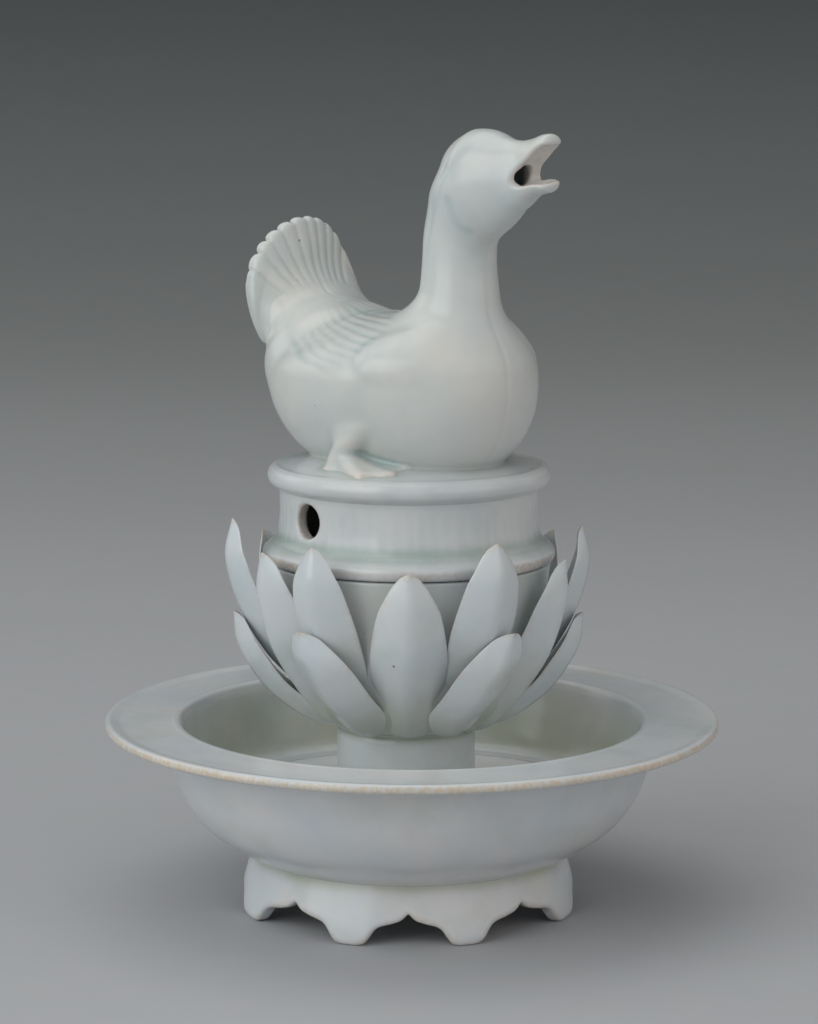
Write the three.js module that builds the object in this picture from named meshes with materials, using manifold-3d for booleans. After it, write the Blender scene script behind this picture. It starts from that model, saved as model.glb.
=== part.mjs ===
// A bird-shaped incense censer of glazed porcelain: a lid with a hollow bird on a drum, and a
// lotus cup with three tiers of petals on a stem in a wide-rimmed basin on eight scalloped feet.
// Millimetres, +Z up, origin on the ground under the middle, the bird faces +X.
import * as THREE from "three";
import { mergeVertices } from "three/addons/utils/BufferGeometryUtils.js";
import Module from "manifold-3d";

const wasm = await Module();
wasm.setup();

// Driving dimensions
const GAP = 0.3; // between luted pieces, where slip and glaze fill the joint
const WALL = 3; // thickness of the potted walls

const RIM_RADIUS = 75;
const RIM_HEIGHT = 47.4;
const WELL_RADIUS = 57;
const BASIN_FLOOR = 26;
const FLOOR_RADIUS = 45;

const FEET = 8;
const FOOT_TURN = 1.5; // degrees that the feet are turned from a symmetrical stand
const FOOT_HEIGHT = 13.8;
const FOOT_TOP_RADIUS = 38.2;
const FOOT_BOTTOM_RADIUS = 41.2;
const FOOT_WALL = 4;

const STEM_RADIUS = 17;
const CUP_BASE = 45.3;
const CUP_MOUTH = 86;
const CUP_RADIUS = 34.4;

const FLANGE_RADIUS = 35.5;
const FLANGE_TOP = 90;
const DRUM_RADIUS = 31.4;
const PLATE_RADIUS = 34.3;
const PLATE_UNDERSIDE = 103.7;
const PLATE_CROWN = 111.6;
const SMOKE_HOLE_RADIUS = 11;
const COLLAR_DEPTH = 5;
const VENT_RADIUS = 4;
const VENT_HEIGHT = 97.2;
const VENT_TURN = -92; // degrees round from the bird's front

const PETALS_PER_TIER = 6;
const PETAL_SECTOR = 14.1; // degrees that a petal may reach each side of its middle
const PETAL_TURN = -43.5; // where the first middle petal stands
const PETAL_THICKNESS = 2.2;

const MOUTH_WIDTH = 8;
const MOUTH_LOW = 178.3;
const MOUTH_HIGH = 183.1;

const TAIL_FEATHERS = 13;
const TAIL_SPREAD = 118; // degrees each side of upright, about the middle of the fan's oval
const TAIL_HALF_WIDTH = 16.6;
const TAIL_THICKNESS = 2.6;

const FORWARD = new THREE.Vector3(1, 0, 0);
const rad = THREE.MathUtils.degToRad;
const { lerp } = THREE.MathUtils;

// A closed geometry as a solid that can be cut and joined
function solid(geometry) {
  const bare = new THREE.BufferGeometry();
  const flat = geometry.index ? geometry.toNonIndexed() : geometry;
  bare.setAttribute("position", flat.getAttribute("position"));
  const merged = mergeVertices(bare, 1e-4);
  const vertProperties = new Float32Array(merged.attributes.position.array);
  const triVerts = new Uint32Array(merged.index.array);
  const made = new wasm.Manifold(new wasm.Mesh({ numProp: 3, vertProperties, triVerts }));
  if (made.volume() > 0) return made;
  for (let i = 0; i < triVerts.length; i += 3)
    [triVerts[i + 1], triVerts[i + 2]] = [triVerts[i + 2], triVerts[i + 1]];
  return new wasm.Manifold(new wasm.Mesh({ numProp: 3, vertProperties, triVerts }));
}

// A cut or joined solid as a geometry again
function geometryOf(made) {
  const mesh = made.getMesh();
  const points = new Float32Array(mesh.numVert * 3);
  for (let i = 0; i < mesh.numVert; i++)
    points.set(mesh.vertProperties.subarray(i * mesh.numProp, i * mesh.numProp + 3), i * 3);
  const geometry = new THREE.BufferGeometry();
  geometry.setAttribute("position", new THREE.BufferAttribute(points, 3));
  geometry.setIndex(new THREE.BufferAttribute(new Uint32Array(mesh.triVerts), 1));
  geometry.computeVertexNormals();
  return geometry;
}

// A solid of revolution about the Z axis, from an outline of [radius, height] points
function turned(outline, segments) {
  const points = [...outline, outline[0]].map(([r, z]) => new THREE.Vector2(r, z));
  return solid(new THREE.LatheGeometry(points, segments).rotateX(Math.PI / 2));
}

// Points on a smooth curve through a few [radius, height] points
function curved(points, steps) {
  const curve = new THREE.SplineCurve(points.map(([r, z]) => new THREE.Vector2(r, z)));
  return curve.getPoints(steps).map((p) => [p.x, p.y]);
}

// The triangles between rings of points, which follow one another and may close into a loop
function bands(rings, closed) {
  const count = rings[0].length;
  const at = (row, k) => (row % rings.length) * count + (k % count);
  const index = [];
  for (let row = 0; row < rings.length - (closed ? 0 : 1); row++)
    for (let k = 0; k < count; k++) {
      index.push(at(row, k), at(row, k + 1), at(row + 1, k));
      index.push(at(row, k + 1), at(row + 1, k + 1), at(row + 1, k));
    }
  return index;
}

// A solid whose skin runs over rings of points, with both end rings capped
function lofted(rings) {
  const count = rings[0].length;
  const middle = (ring) =>
    ring.reduce((sum, p) => sum.add(p), new THREE.Vector3()).divideScalar(count);
  const points = [...rings.flat(), middle(rings[0]), middle(rings.at(-1))];
  const [first, last] = [points.length - 2, points.length - 1];
  const index = bands(rings, false);
  for (let k = 0; k < count; k++) {
    const next = (k + 1) % count;
    const end = (rings.length - 1) * count;
    index.push(first, next, k);
    index.push(last, end + k, end + next);
  }
  const geometry = new THREE.BufferGeometry().setFromPoints(points);
  geometry.setIndex(index);
  return solid(geometry);
}

// A solid whose skin runs over rings of points that come round to the first again
function looped(rings) {
  const geometry = new THREE.BufferGeometry().setFromPoints(rings.flat());
  geometry.setIndex(bands(rings, true));
  return solid(geometry);
}

// A solid between two sheets of points, front(u, v) and back(u, v), with u and v from 0 to 1
function sheet(front, back, uSteps, vSteps) {
  const rings = [];
  for (let i = 0; i <= uSteps; i++) {
    const ring = [];
    for (let j = 0; j <= vSteps; j++) ring.push(front(i / uSteps, j / vSteps));
    for (let j = vSteps; j >= 0; j--) ring.push(back(i / uSteps, j / vSteps));
    rings.push(ring);
  }
  return lofted(rings);
}

function box(low, high) {
  const size = low.map((v, i) => high[i] - v);
  const geometry = new THREE.BoxGeometry(...size);
  return solid(geometry.translate(...low.map((v, i) => v + size[i] / 2)));
}

// An ellipsoid, with its top leaning towards +X by a tilt in degrees, and perhaps a flatter top
function ball({ centre, radii, top = radii[2], tilt = 0 }, offset) {
  const around = offset < 0 ? 16 : 22;
  const geometry = new THREE.SphereGeometry(1, around, around / 2 + 2).rotateX(Math.PI / 2);
  const places = geometry.attributes.position;
  for (let i = 0; i < places.count; i++)
    if (places.getZ(i) > 0) places.setZ(i, (places.getZ(i) * (top + offset)) / (radii[2] + offset));
  geometry.scale(...radii.map((r) => r + offset)).rotateY(rad(tilt));
  return solid(geometry.translate(...centre));
}

// A tapered limb over [x, y, z, half width, half depth] stations, its width along Y
function limb(stations, offset, sides) {
  const centres = stations.map(([x, y, z]) => new THREE.Vector3(x, y, z));
  const last = centres.length - 1;
  const across = new THREE.Vector3(0, 1, 0);
  const rings = stations.map(([, , , width, depth], n) => {
    const along = centres[Math.min(n + 1, last)].clone().sub(centres[Math.max(n - 1, 0)]);
    const up = along.cross(across).normalize();
    return Array.from({ length: sides }, (_, k) => {
      const a = (2 * Math.PI * k) / sides;
      const point = centres[n].clone().addScaledVector(across, (width + offset) * Math.cos(a));
      return point.addScaledVector(up, (depth + offset) * Math.sin(a));
    });
  });
  return lofted(rings);
}

// The bird: an egg-shaped body with a flatter back, a full breast, a neck, a head, and a muzzle
const BODY = { centre: [-3.2, 0, 131.5], radii: [36, 28.6, 28], top: 14.6, tilt: -4 };
const BREAST = { centre: [13, 0, 130.5], radii: [19.8, 23.4, 24], top: 19.6 };
const HEAD = { centre: [24.6, 0, 178], radii: [11.2, 9.2, 13.2], tilt: 28 };
const NECK = [
  [14, 0, 138, 16, 16],
  [15.6, 0, 143, 12.8, 12.8],
  [16.6, 0, 147, 10.8, 10.8],
  [17.2, 0, 152, 9.6, 9.6],
  [17.2, 0, 159, 8.9, 8.9],
  [17.6, 0, 166, 8.7, 8.9],
  [19.2, 0, 172, 8.7, 9.1],
  [21, 0, 177, 8.8, 8.6],
  [24, 0, 182, 7, 6.6],
];
const MUZZLE = [
  [24, 0, 179, 8.6, 11],
  [32.4, 0, 179.8, 7.4, 9],
  [37.4, 0, 181, 5.8, 6.9],
];
const UPPER_MANDIBLE = [
  [36, 0, 185.5, 5.4, 3],
  [39, 0, 186.1, 5.2, 3],
  [43, 0, 187.5, 4.8, 2.9],
  [46, 0, 188.6, 3.8, 2.1],
  [47.8, 0, 189, 2, 1.1],
];
const LOWER_MANDIBLE = [
  [36, 0, 175.2, 5.4, 3],
  [39, 0, 176.5, 5.2, 2.8],
  [43, 0, 178.3, 4.8, 2.1],
  [46.4, 0, 179.4, 3.7, 1.3],
  [47.9, 0, 179.8, 2, 0.8],
];

// The bird's skin, or one that stands off it by a distance, inwards where that is negative
function birdForm(offset) {
  const sides = offset < 0 ? 12 : 16;
  const body = ball(BODY, offset).add(ball(BREAST, offset)).add(limb(NECK, offset, sides));
  return body.add(ball(HEAD, offset)).add(limb(MUZZLE, offset, sides));
}

// The way out for the smoke, between the two halves of the bill
function mouthPassage() {
  return box([30, -MOUTH_WIDTH / 2, MOUTH_LOW], [60, MOUTH_WIDTH / 2, MOUTH_HIGH]);
}

// One side of the hollow bird, as it comes from its mould, open underneath
function birdHalf(side) {
  const shell = birdForm(0).subtract(birdForm(-WALL)).subtract(mouthPassage());
  const reach = 80;
  const near = side > 0 ? GAP / 2 : -reach;
  const mould = box([-reach, near, 90], [reach, near + reach - GAP / 2, 200]);
  return shell.intersect(mould).subtract(plateSeat());
}

function mandible(stations) {
  return limb(stations, 0, 12).subtract(birdForm(GAP)).subtract(mouthPassage());
}

// The tail: an oval fan of feathers on a root in the rump, which leans back and is bent round
function tailFan() {
  const root = new THREE.Vector3(-32, 1.4, 137);
  const [middle, above, below] = [13, 17.4, 24]; // the oval's middle over the root, and its reach
  const [lean, wrap] = [0.2, 0.02];
  const turn = rad(5); // towards the bird's right, as it was set on by hand
  const point = (u, v, side) => {
    const angle = rad(TAIL_SPREAD * (2 * v - 1));
    const scallop = Math.abs(Math.sin(Math.PI * v * TAIL_FEATHERS));
    const share = lerp(0.12, 0.96 + 0.04 * scallop, u);
    const y = share * TAIL_HALF_WIDTH * Math.sin(angle);
    const reach = Math.cos(angle) > 0 ? above : below;
    const rise = share * (middle + reach * Math.cos(angle));
    const skin = side * (TAIL_THICKNESS / 2 + 0.5 * u * scallop);
    const back = lean * rise + wrap * y * y;
    return new THREE.Vector3(skin - back, y, rise).applyAxisAngle(FORWARD, turn).add(root);
  };
  const fan = sheet(
    (u, v) => point(u, v, 1),
    (u, v) => point(u, v, -1),
    4,
    TAIL_FEATHERS * 2,
  );
  return fan.subtract(birdForm(GAP));
}

// One leg: a shank that leans back from the belly, and a webbed foot of three toes on the plate
function leg(side) {
  const heel = new THREE.Vector3(-2, side * 23.6, 111.2);
  const toes = [
    [13.4, 28, 110.4],
    [17.6, 22.6, 111.2],
    [17.6, 16, 112],
  ].map(([x, y, z]) => new THREE.Vector3(x, side * y, z));
  const web = (u, v, thickness) => {
    const toe = Math.min(Math.floor(2 * v), 1);
    const between = Math.sin(Math.PI * (2 * v - toe));
    const edge = toes[toe].clone().lerp(toes[toe + 1], 2 * v - toe).lerp(heel, 0.14 * between);
    const point = heel.clone().lerp(edge, lerp(0.04, 1, u));
    point.z += thickness * (1 - 0.45 * between) * (1 - 0.5 * u);
    return point;
  };
  const foot = sheet(
    (u, v) => web(u, v, 2.4),
    (u, v) => web(u, v, -3),
    5,
    8,
  );
  const shank = [
    [2, side * 24, 123, 3.2, 3.6],
    [0.4, side * 24.6, 117.5, 2.8, 3],
    [-1, side * 24, 112.4, 2.3, 2.4],
  ];
  return foot.add(limb(shank, 0, 10)).subtract(birdForm(GAP)).subtract(plateSeat());
}

// The top of the lid's plate, from its middle out to the rolled edge and round under it
function plateTop() {
  const roll = [
    [26.5, 110.5],
    [31.4, 109.4],
    [33.4, 108.7],
    [PLATE_RADIUS, 106.8],
    [33.4, 104.9],
    [31.6, PLATE_UNDERSIDE],
  ];
  return [[SMOKE_HOLE_RADIUS, PLATE_CROWN], [20, PLATE_CROWN], ...curved(roll, 7)];
}

function lidPlate() {
  const underside = [
    [28, PLATE_UNDERSIDE],
    [24, 106.6],
    [SMOKE_HOLE_RADIUS, 108],
  ];
  return turned([...plateTop(), ...underside], 36);
}

// The plate and all that is below it, with the gap that what stands on it keeps
function plateSeat() {
  const top = plateTop().map(([r, z]) => [r, z + GAP]);
  return turned([[0, PLATE_CROWN + GAP], ...top, [31, 90], [0, 90]], 36);
}

// The drum under the plate, waisted, with the flange that sits on the cup, and the round vent
function lidDrum() {
  const foot = CUP_MOUTH + GAP;
  const head = PLATE_UNDERSIDE - GAP;
  const outside = curved(
    [
      [31.6, head],
      [DRUM_RADIUS, 99],
      [31.8, 94],
      [33.2, FLANGE_TOP + 0.6],
      [FLANGE_RADIUS, 88.8],
      [FLANGE_RADIUS - 0.3, foot],
    ],
    7,
  );
  const inside = [
    [29.6, foot],
    [DRUM_RADIUS - WALL - 0.6, FLANGE_TOP + 2],
    [DRUM_RADIUS - WALL - 0.4, head],
  ];
  const vent = new THREE.CylinderGeometry(VENT_RADIUS, VENT_RADIUS, 2 * WALL + 4, 20);
  vent.rotateZ(Math.PI / 2).translate(DRUM_RADIUS - WALL / 2, 0, VENT_HEIGHT);
  return turned([...outside, ...inside], 40).subtract(solid(vent.rotateZ(rad(VENT_TURN))));
}

// The ring under the drum that drops into the cup's mouth and keeps the lid in place
function lidCollar() {
  const low = CUP_MOUTH - COLLAR_DEPTH;
  const outline = [
    [27.2, CUP_MOUTH],
    [30.4, CUP_MOUTH],
    [30, low],
    [27.4, low],
  ];
  return turned(outline, 32);
}

// The cup's outside, from its base on the stem to its mouth
const CUP_OUTSIDE = [
  [STEM_RADIUS, CUP_BASE],
  [22, 47.6],
  [27, 53],
  [30.4, 62],
  [32.8, 74],
  [CUP_RADIUS, CUP_MOUTH],
];

function lotusCup() {
  const inside = [
    [CUP_RADIUS - WALL, CUP_MOUTH],
    [29.8, 74],
    [27.2, 62],
    [22, 54],
    [10, 51.4],
    [0, 51],
  ];
  return turned([[0, CUP_BASE], ...curved(CUP_OUTSIDE, 6), ...curved(inside, 5)], 32);
}

// The room that the cup and the stem take among the petals' roots
function cupRoom() {
  const outside = curved(CUP_OUTSIDE, 6).map(([r, z]) => [r + GAP, z]);
  const [low, high] = [CUP_BASE - 10, CUP_MOUTH + 10];
  return turned([[0, low], [STEM_RADIUS + GAP, low], ...outside, [CUP_RADIUS, high], [0, high]], 32);
}

// Petal outlines: how far along the midrib, and how wide there
const POINTED = [[0, 0.6], [0.3, 0.9], [0.58, 1], [0.8, 0.78], [0.93, 0.36], [1, 0.03]];
const BLUNT = [[0, 0.55], [0.35, 0.86], [0.66, 1], [0.86, 0.84], [0.96, 0.45], [1, 0.04]];

// Petal tiers: the midrib as [radius, height] points, the half width, and the first one's turn
const TIERS = [
  {
    name: "upper_petal",
    rib: [[24, 52], [34, 62], [41, 74], [44.2, 86], [42.5, 95.1]],
    half: 8.7,
    leaf: POINTED,
    turn: PETAL_TURN + 30,
  },
  {
    name: "middle_petal",
    rib: [[20, 47], [31, 56], [38.5, 67], [42.3, 80], [42.1, 89.9]],
    half: 9.2,
    leaf: POINTED,
    turn: PETAL_TURN,
  },
  {
    name: "lower_petal",
    rib: [[18, 46.4], [26, 48.4], [36.6, 55.8], [42.4, 66], [43.1, 74.3]],
    half: 7.2,
    leaf: BLUNT,
    turn: PETAL_TURN + 30,
  },
];

// A petal: a keeled, pointed leaf of clay that curls up from the cup, within its own sector
function petal({ rib, half, leaf }, turn) {
  const midrib = new THREE.SplineCurve(rib.map(([r, z]) => new THREE.Vector2(r, z)));
  const outline = new THREE.SplineCurve(leaf.map(([u, w]) => new THREE.Vector2(u, w)));
  const point = (t, v, depth) => {
    const { x: along, y: share } = outline.getPoint(t);
    const { x: r, y: z } = midrib.getPoint(along);
    const tangent = midrib.getTangent(along);
    const side = 2 * v - 1;
    const width = half * share;
    const bow = 0.22 * width * Math.abs(side) + (width * side) ** 2 / 68;
    const inward = bow + depth * (1 - 0.45 * Math.abs(side));
    const x = r - inward * tangent.y;
    const y = Math.min(width, x * Math.tan(rad(PETAL_SECTOR))) * side;
    return new THREE.Vector3(x, y, z + inward * tangent.x);
  };
  const petalLeaf = sheet(
    (t, v) => point(t, v, 0),
    (t, v) => point(t, v, PETAL_THICKNESS),
    7,
    4,
  );
  return petalLeaf.rotate([0, 0, turn]).subtract(cupRoom());
}

function stem() {
  const low = BASIN_FLOOR + GAP;
  const high = CUP_BASE - GAP;
  const outside = curved([[STEM_RADIUS + 1.2, low], [STEM_RADIUS, 33], [STEM_RADIUS, high]], 4);
  return turned([[0, low], ...outside, [0, high]], 32);
}

// The basin: a round bowl with a wide flat rim, its underside raised inside the foot ring
function basin() {
  const low = FOOT_HEIGHT + GAP;
  const outside = curved(
    [
      [FOOT_TOP_RADIUS, low],
      [45.8, 18.1],
      [51.7, 22.7],
      [56, 29.1],
      [58.8, 36.7],
      [60.4, 42.6],
    ],
    6,
  );
  const lip = curved(
    [
      [RIM_RADIUS - 1, RIM_HEIGHT - 2.4],
      [RIM_RADIUS, RIM_HEIGHT - 1.2],
      [RIM_RADIUS - 0.8, RIM_HEIGHT],
      [RIM_RADIUS - 2.6, RIM_HEIGHT - 0.6],
    ],
    4,
  );
  const inside = curved(
    [
      [WELL_RADIUS + 1, RIM_HEIGHT - 0.7],
      [WELL_RADIUS - 0.8, RIM_HEIGHT - 2],
      [54.4, 38],
      [51, 31.6],
      [FLOOR_RADIUS, BASIN_FLOOR + 1.6],
    ],
    5,
  );
  const underside = [
    [0, 20.6],
    [27, 19.8],
    [FOOT_TOP_RADIUS - FOOT_WALL, low + 2],
    [FOOT_TOP_RADIUS - FOOT_WALL, low],
  ];
  const floor = [
    [FLOOR_RADIUS - 1.5, BASIN_FLOOR],
    [0, BASIN_FLOOR],
  ];
  return turned([...underside, ...outside, ...lip, ...inside, ...floor], 48);
}

// Half a foot's lower edge: how far from its middle to the next arch's peak, and how high
const FOOT_EDGE = [
  [0, 0],
  [0.2, 0],
  [0.3, 0.9],
  [0.38, 2.8],
  [0.42, 4.6],
  [0.55, 4.5],
  [0.7, 5.1],
  [0.86, 6.3],
  [1, 8.2],
];

// The foot ring: a flared wall whose lower edge is cut into feet with a cusped arch between them
function footRing() {
  const outer = (z) => lerp(FOOT_BOTTOM_RADIUS, FOOT_TOP_RADIUS, (z / FOOT_HEIGHT) ** 2);
  const section = (turn, low) => {
    const middle = (low + FOOT_HEIGHT) / 2;
    const outline = [
      [outer(low) - FOOT_WALL, low],
      [outer(low), low],
      [outer(middle), middle],
      [outer(FOOT_HEIGHT), FOOT_HEIGHT],
      [outer(FOOT_HEIGHT) - FOOT_WALL, FOOT_HEIGHT],
    ];
    return outline.map(([r, z]) => new THREE.Vector3(r * Math.cos(turn), r * Math.sin(turn), z));
  };
  const sector = 360 / FEET;
  const rings = [];
  for (let n = 0; n < FEET; n++) {
    const middle = FOOT_TURN + sector * (n + 0.5);
    for (const [t, low] of FOOT_EDGE.toReversed())
      rings.push(section(rad(middle - (t * sector) / 2), low));
    for (const [t, low] of FOOT_EDGE.slice(1, -1))
      rings.push(section(rad(middle + (t * sector) / 2), low));
  }
  return looped(rings);
}

const glaze = (colour, roughness) => ({ color: colour, roughness, metalness: 0 });
const BIRD_GLAZE = glaze(0xcdd6d6, 0.25);
const LID_GLAZE = glaze(0xc6cfcf, 0.25);
const LOTUS_GLAZE = glaze(0xc4cdd0, 0.28);
const BASIN_GLAZE = glaze(0xbcc6c8, 0.22);
const BARE_CLAY = glaze(0xc9b3a2, 0.7);

// One named piece, with a material of its own
function place(group, name, made, finish) {
  const mesh = new THREE.Mesh(geometryOf(made), new THREE.MeshStandardMaterial(finish));
  mesh.name = name;
  group.add(mesh);
}

const lid = new THREE.Group();
place(lid, "bird_right_half", birdHalf(-1), BIRD_GLAZE);
place(lid, "bird_left_half", birdHalf(1), BIRD_GLAZE);
place(lid, "upper_mandible", mandible(UPPER_MANDIBLE), BIRD_GLAZE);
place(lid, "lower_mandible", mandible(LOWER_MANDIBLE), BIRD_GLAZE);
place(lid, "tail_fan", tailFan(), BIRD_GLAZE);
place(lid, "right_leg", leg(-1), BIRD_GLAZE);
place(lid, "left_leg", leg(1), BIRD_GLAZE);
place(lid, "lid_plate", lidPlate(), LID_GLAZE);
place(lid, "lid_drum", lidDrum(), LID_GLAZE);
place(lid, "lid_collar", lidCollar(), BARE_CLAY);

const base = new THREE.Group();
place(base, "lotus_cup", lotusCup(), LOTUS_GLAZE);
for (const tier of TIERS)
  for (let n = 0; n < PETALS_PER_TIER; n++) {
    const turn = tier.turn + (360 / PETALS_PER_TIER) * n;
    place(base, `${tier.name}_${n + 1}`, petal(tier, turn), LOTUS_GLAZE);
  }
place(base, "stem", stem(), LOTUS_GLAZE);
place(base, "basin", basin(), BASIN_GLAZE);
place(base, "foot_ring", footRing(), BASIN_GLAZE);

const censer = new THREE.Group();
censer.add(lid, base);
export default censer;
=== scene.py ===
"""The looks of a bird-shaped incense censer of pale glazed porcelain, on a plain floor.

The pieces are shaped in millimetres, in the frame of the part: +Z is up, and the bird faces +X
with its left towards +Y.
"""

import math

import bmesh
import bpy
import numpy as np
from mathutils import Matrix, Vector


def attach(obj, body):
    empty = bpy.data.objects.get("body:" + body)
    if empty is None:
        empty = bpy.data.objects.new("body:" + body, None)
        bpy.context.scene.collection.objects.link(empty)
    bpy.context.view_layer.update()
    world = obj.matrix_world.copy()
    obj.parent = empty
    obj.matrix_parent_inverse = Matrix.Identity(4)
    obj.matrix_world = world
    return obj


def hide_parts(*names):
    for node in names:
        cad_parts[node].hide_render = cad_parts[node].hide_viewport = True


MM = 0.001
WALL = 3  # thickness of the potted walls
FRONT = -45  # bearing of the front of the base, in degrees round from the front of the bird
BASE_TURN = 1.5  # degrees that the feet and the petals stand turned from that front

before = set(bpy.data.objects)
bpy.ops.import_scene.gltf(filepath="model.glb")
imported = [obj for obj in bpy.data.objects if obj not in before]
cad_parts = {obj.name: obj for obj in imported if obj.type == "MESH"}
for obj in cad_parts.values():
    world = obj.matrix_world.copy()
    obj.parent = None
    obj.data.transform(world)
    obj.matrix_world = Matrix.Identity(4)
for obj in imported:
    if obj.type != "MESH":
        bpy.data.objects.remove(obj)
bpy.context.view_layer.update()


# Camera and lamps

AIM_HEIGHT = 0.0975
CAMERA_DISTANCE = 0.822
CAMERA_TURN = math.radians(43.5)  # round from the front of the bird, towards its right
CAMERA_ELEVATION = math.radians(8.99)
CAMERA_ROLL = math.radians(0.1)
CAMERA_LENS = 118.97
CAMERA_RANGE = 0.05, 20

LAMPS = (  # name, how far right, up and near in metres, size, power, tint
    ("window_light", -1.2, 0.75, 1.0, 1.6, 14.6, (0.93, 0.99, 1)),
    ("room_light", 1.2, 0.4, 1.0, 1.6, 4, (1, 0.985, 0.97)),
    ("edge_light", -1.5, 0.8, -0.9, 1.0, 1.8, (1, 1, 1)),
    ("top_light", -0.2, 1.5, -0.2, 1.4, 5, (0.95, 1, 1)),
)
ROOM_TINT, ROOM_STRENGTH = (1, 0.985, 0.98, 1), 0.44

TOWARDS_CAMERA = Vector(
    (
        math.cos(CAMERA_TURN) * math.cos(CAMERA_ELEVATION),
        -math.sin(CAMERA_TURN) * math.cos(CAMERA_ELEVATION),
        math.sin(CAMERA_ELEVATION),
    )
)
CAMERA_RIGHT = Vector((math.sin(CAMERA_TURN), math.cos(CAMERA_TURN), 0))
BACKWARDS = Vector((-math.cos(CAMERA_TURN), math.sin(CAMERA_TURN), 0))
AIM = Vector((0, 0, AIM_HEIGHT))


def set_up_camera():
    """The view of the photograph"""
    camera = bpy.data.objects.new("camera", bpy.data.cameras.new("camera"))
    bpy.context.scene.collection.objects.link(camera)
    camera.data.lens = CAMERA_LENS
    camera.data.clip_start, camera.data.clip_end = CAMERA_RANGE
    camera.location = AIM + TOWARDS_CAMERA * CAMERA_DISTANCE
    facing = TOWARDS_CAMERA.to_track_quat("Z", "Y").to_matrix()
    camera.rotation_euler = (facing @ Matrix.Rotation(CAMERA_ROLL, 3, "Z")).to_euler()
    bpy.context.scene.camera = camera


def hang_lamp(name, right, up, near, size, power, tint):
    """A square soft box, placed from the middle of the censer as the camera sees it"""
    lamp = bpy.data.objects.new(name, bpy.data.lights.new(name, "AREA"))
    bpy.context.scene.collection.objects.link(lamp)
    lamp.data.shape = "SQUARE"
    lamp.data.size = size
    lamp.data.energy = power
    lamp.data.color = tint
    lamp.location = AIM + CAMERA_RIGHT * right + Vector((0, 0, up)) - BACKWARDS * near
    lamp.rotation_euler = (lamp.location - AIM).to_track_quat("Z", "Y").to_euler()


def light_studio():
    """Soft daylight from the upper left in a pale room"""
    for lamp in LAMPS:
        hang_lamp(*lamp)
    world = bpy.data.worlds.new("room")
    world.use_nodes = True
    background = world.node_tree.nodes["Background"].inputs
    background["Color"].default_value = ROOM_TINT
    background["Strength"].default_value = ROOM_STRENGTH
    bpy.context.scene.world = world
    bpy.context.scene.view_settings.view_transform = "Standard"


# Curves and meshes


def through(points, steps=8):
    """Points on a smooth curve through a few points, with some steps from each to the next"""
    given = np.asarray(points, float)
    ends = np.vstack([2 * given[0] - given[1], given, 2 * given[-1] - given[-2]])
    made = []
    for n in range(len(given) - 1):
        before, start, end, after = ends[n : n + 4]
        for t in np.arange(steps) / steps:
            made.append(
                0.5
                * (
                    2 * start
                    + (end - before) * t
                    + (2 * before - 5 * start + 4 * end - after) * t**2
                    + (3 * start - before - 3 * end + after) * t**3
                )
            )
    made.append(given[-1])
    return np.array(made)


def rising(value, start, length):
    """A share that goes from 0 at the start to 1 a length further on"""
    return np.clip((value - start) / length, 0, 1)


def falling(value, end, length):
    """A share that goes from 1 to 0, which it reaches at the end of a length"""
    return np.clip((end - value) / length, 0, 1)


def band(value, middle, width):
    """A share that is 1 at the middle of a band and dies away on both sides of it"""
    return np.exp(-(((value - middle) / width) ** 2))


def is_inside_out(mesh):
    """Whether the faces of a closed mesh point inwards, so that its volume comes out below 0"""
    mesh.calc_loop_triangles()
    corners = np.empty(len(mesh.loop_triangles) * 3, int)
    mesh.loop_triangles.foreach_get("vertices", corners)
    places = np.empty(len(mesh.vertices) * 3)
    mesh.vertices.foreach_get("co", places)
    a, b, c = places.reshape(-1, 3)[corners.reshape(-1, 3).T]
    return (np.cross(a, b) * c).sum() < 0


def new_piece(name, points, faces):
    """A smooth-shaded piece, from points in millimetres"""
    mesh = bpy.data.meshes.new(name)
    mesh.from_pydata((np.asarray(points) * MM).tolist(), [], faces)
    mesh.validate()
    if is_inside_out(mesh):
        mesh.flip_normals()
    mesh.shade_smooth()
    piece = bpy.data.objects.new(name, mesh)
    bpy.context.scene.collection.objects.link(piece)
    return piece


def points_of(piece):
    """The points of a piece in millimetres, as rows"""
    places = np.empty(len(piece.data.vertices) * 3)
    piece.data.vertices.foreach_get("co", places)
    return places.reshape(-1, 3) / MM


def radius_of(points):
    """How far points are from the upright axis"""
    return np.hypot(points[:, 0], points[:, 1])


def move_points(piece, points):
    """Sets the points of a piece, given in millimetres"""
    piece.data.vertices.foreach_set("co", (points * MM).ravel())
    piece.data.update()


def normals_of(piece):
    """The normals at the points of a piece, as rows"""
    made = np.empty(len(piece.data.vertices) * 3)
    piece.data.vertices.foreach_get("normal", made)
    return made.reshape(-1, 3)


def neighbour_mean(piece, values, rounds=1):
    """Values at the points, each evened out with those next to it"""
    ends = np.empty(len(piece.data.edges) * 2, int)
    piece.data.edges.foreach_get("vertices", ends)
    a, b = ends[::2], ends[1::2]
    count = len(piece.data.vertices)
    ties = np.bincount(a, minlength=count) + np.bincount(b, minlength=count)
    flat = values.reshape(count, -1).astype(float)
    for _ in range(rounds):
        flat = np.stack(
            [
                (np.bincount(a, v[b], count) + np.bincount(b, v[a], count)) / np.maximum(ties, 1)
                for v in flat.T
            ],
            axis=1,
        )
    return flat.reshape(values.shape)


# How hollow the surface is where glaze pools fully, and how round it is where glaze thins
POOLS_AT, THINS_FROM, THINS_OVER = 0.1, 0.05, 0.18
MOST_HOLLOW = 0.6


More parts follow.
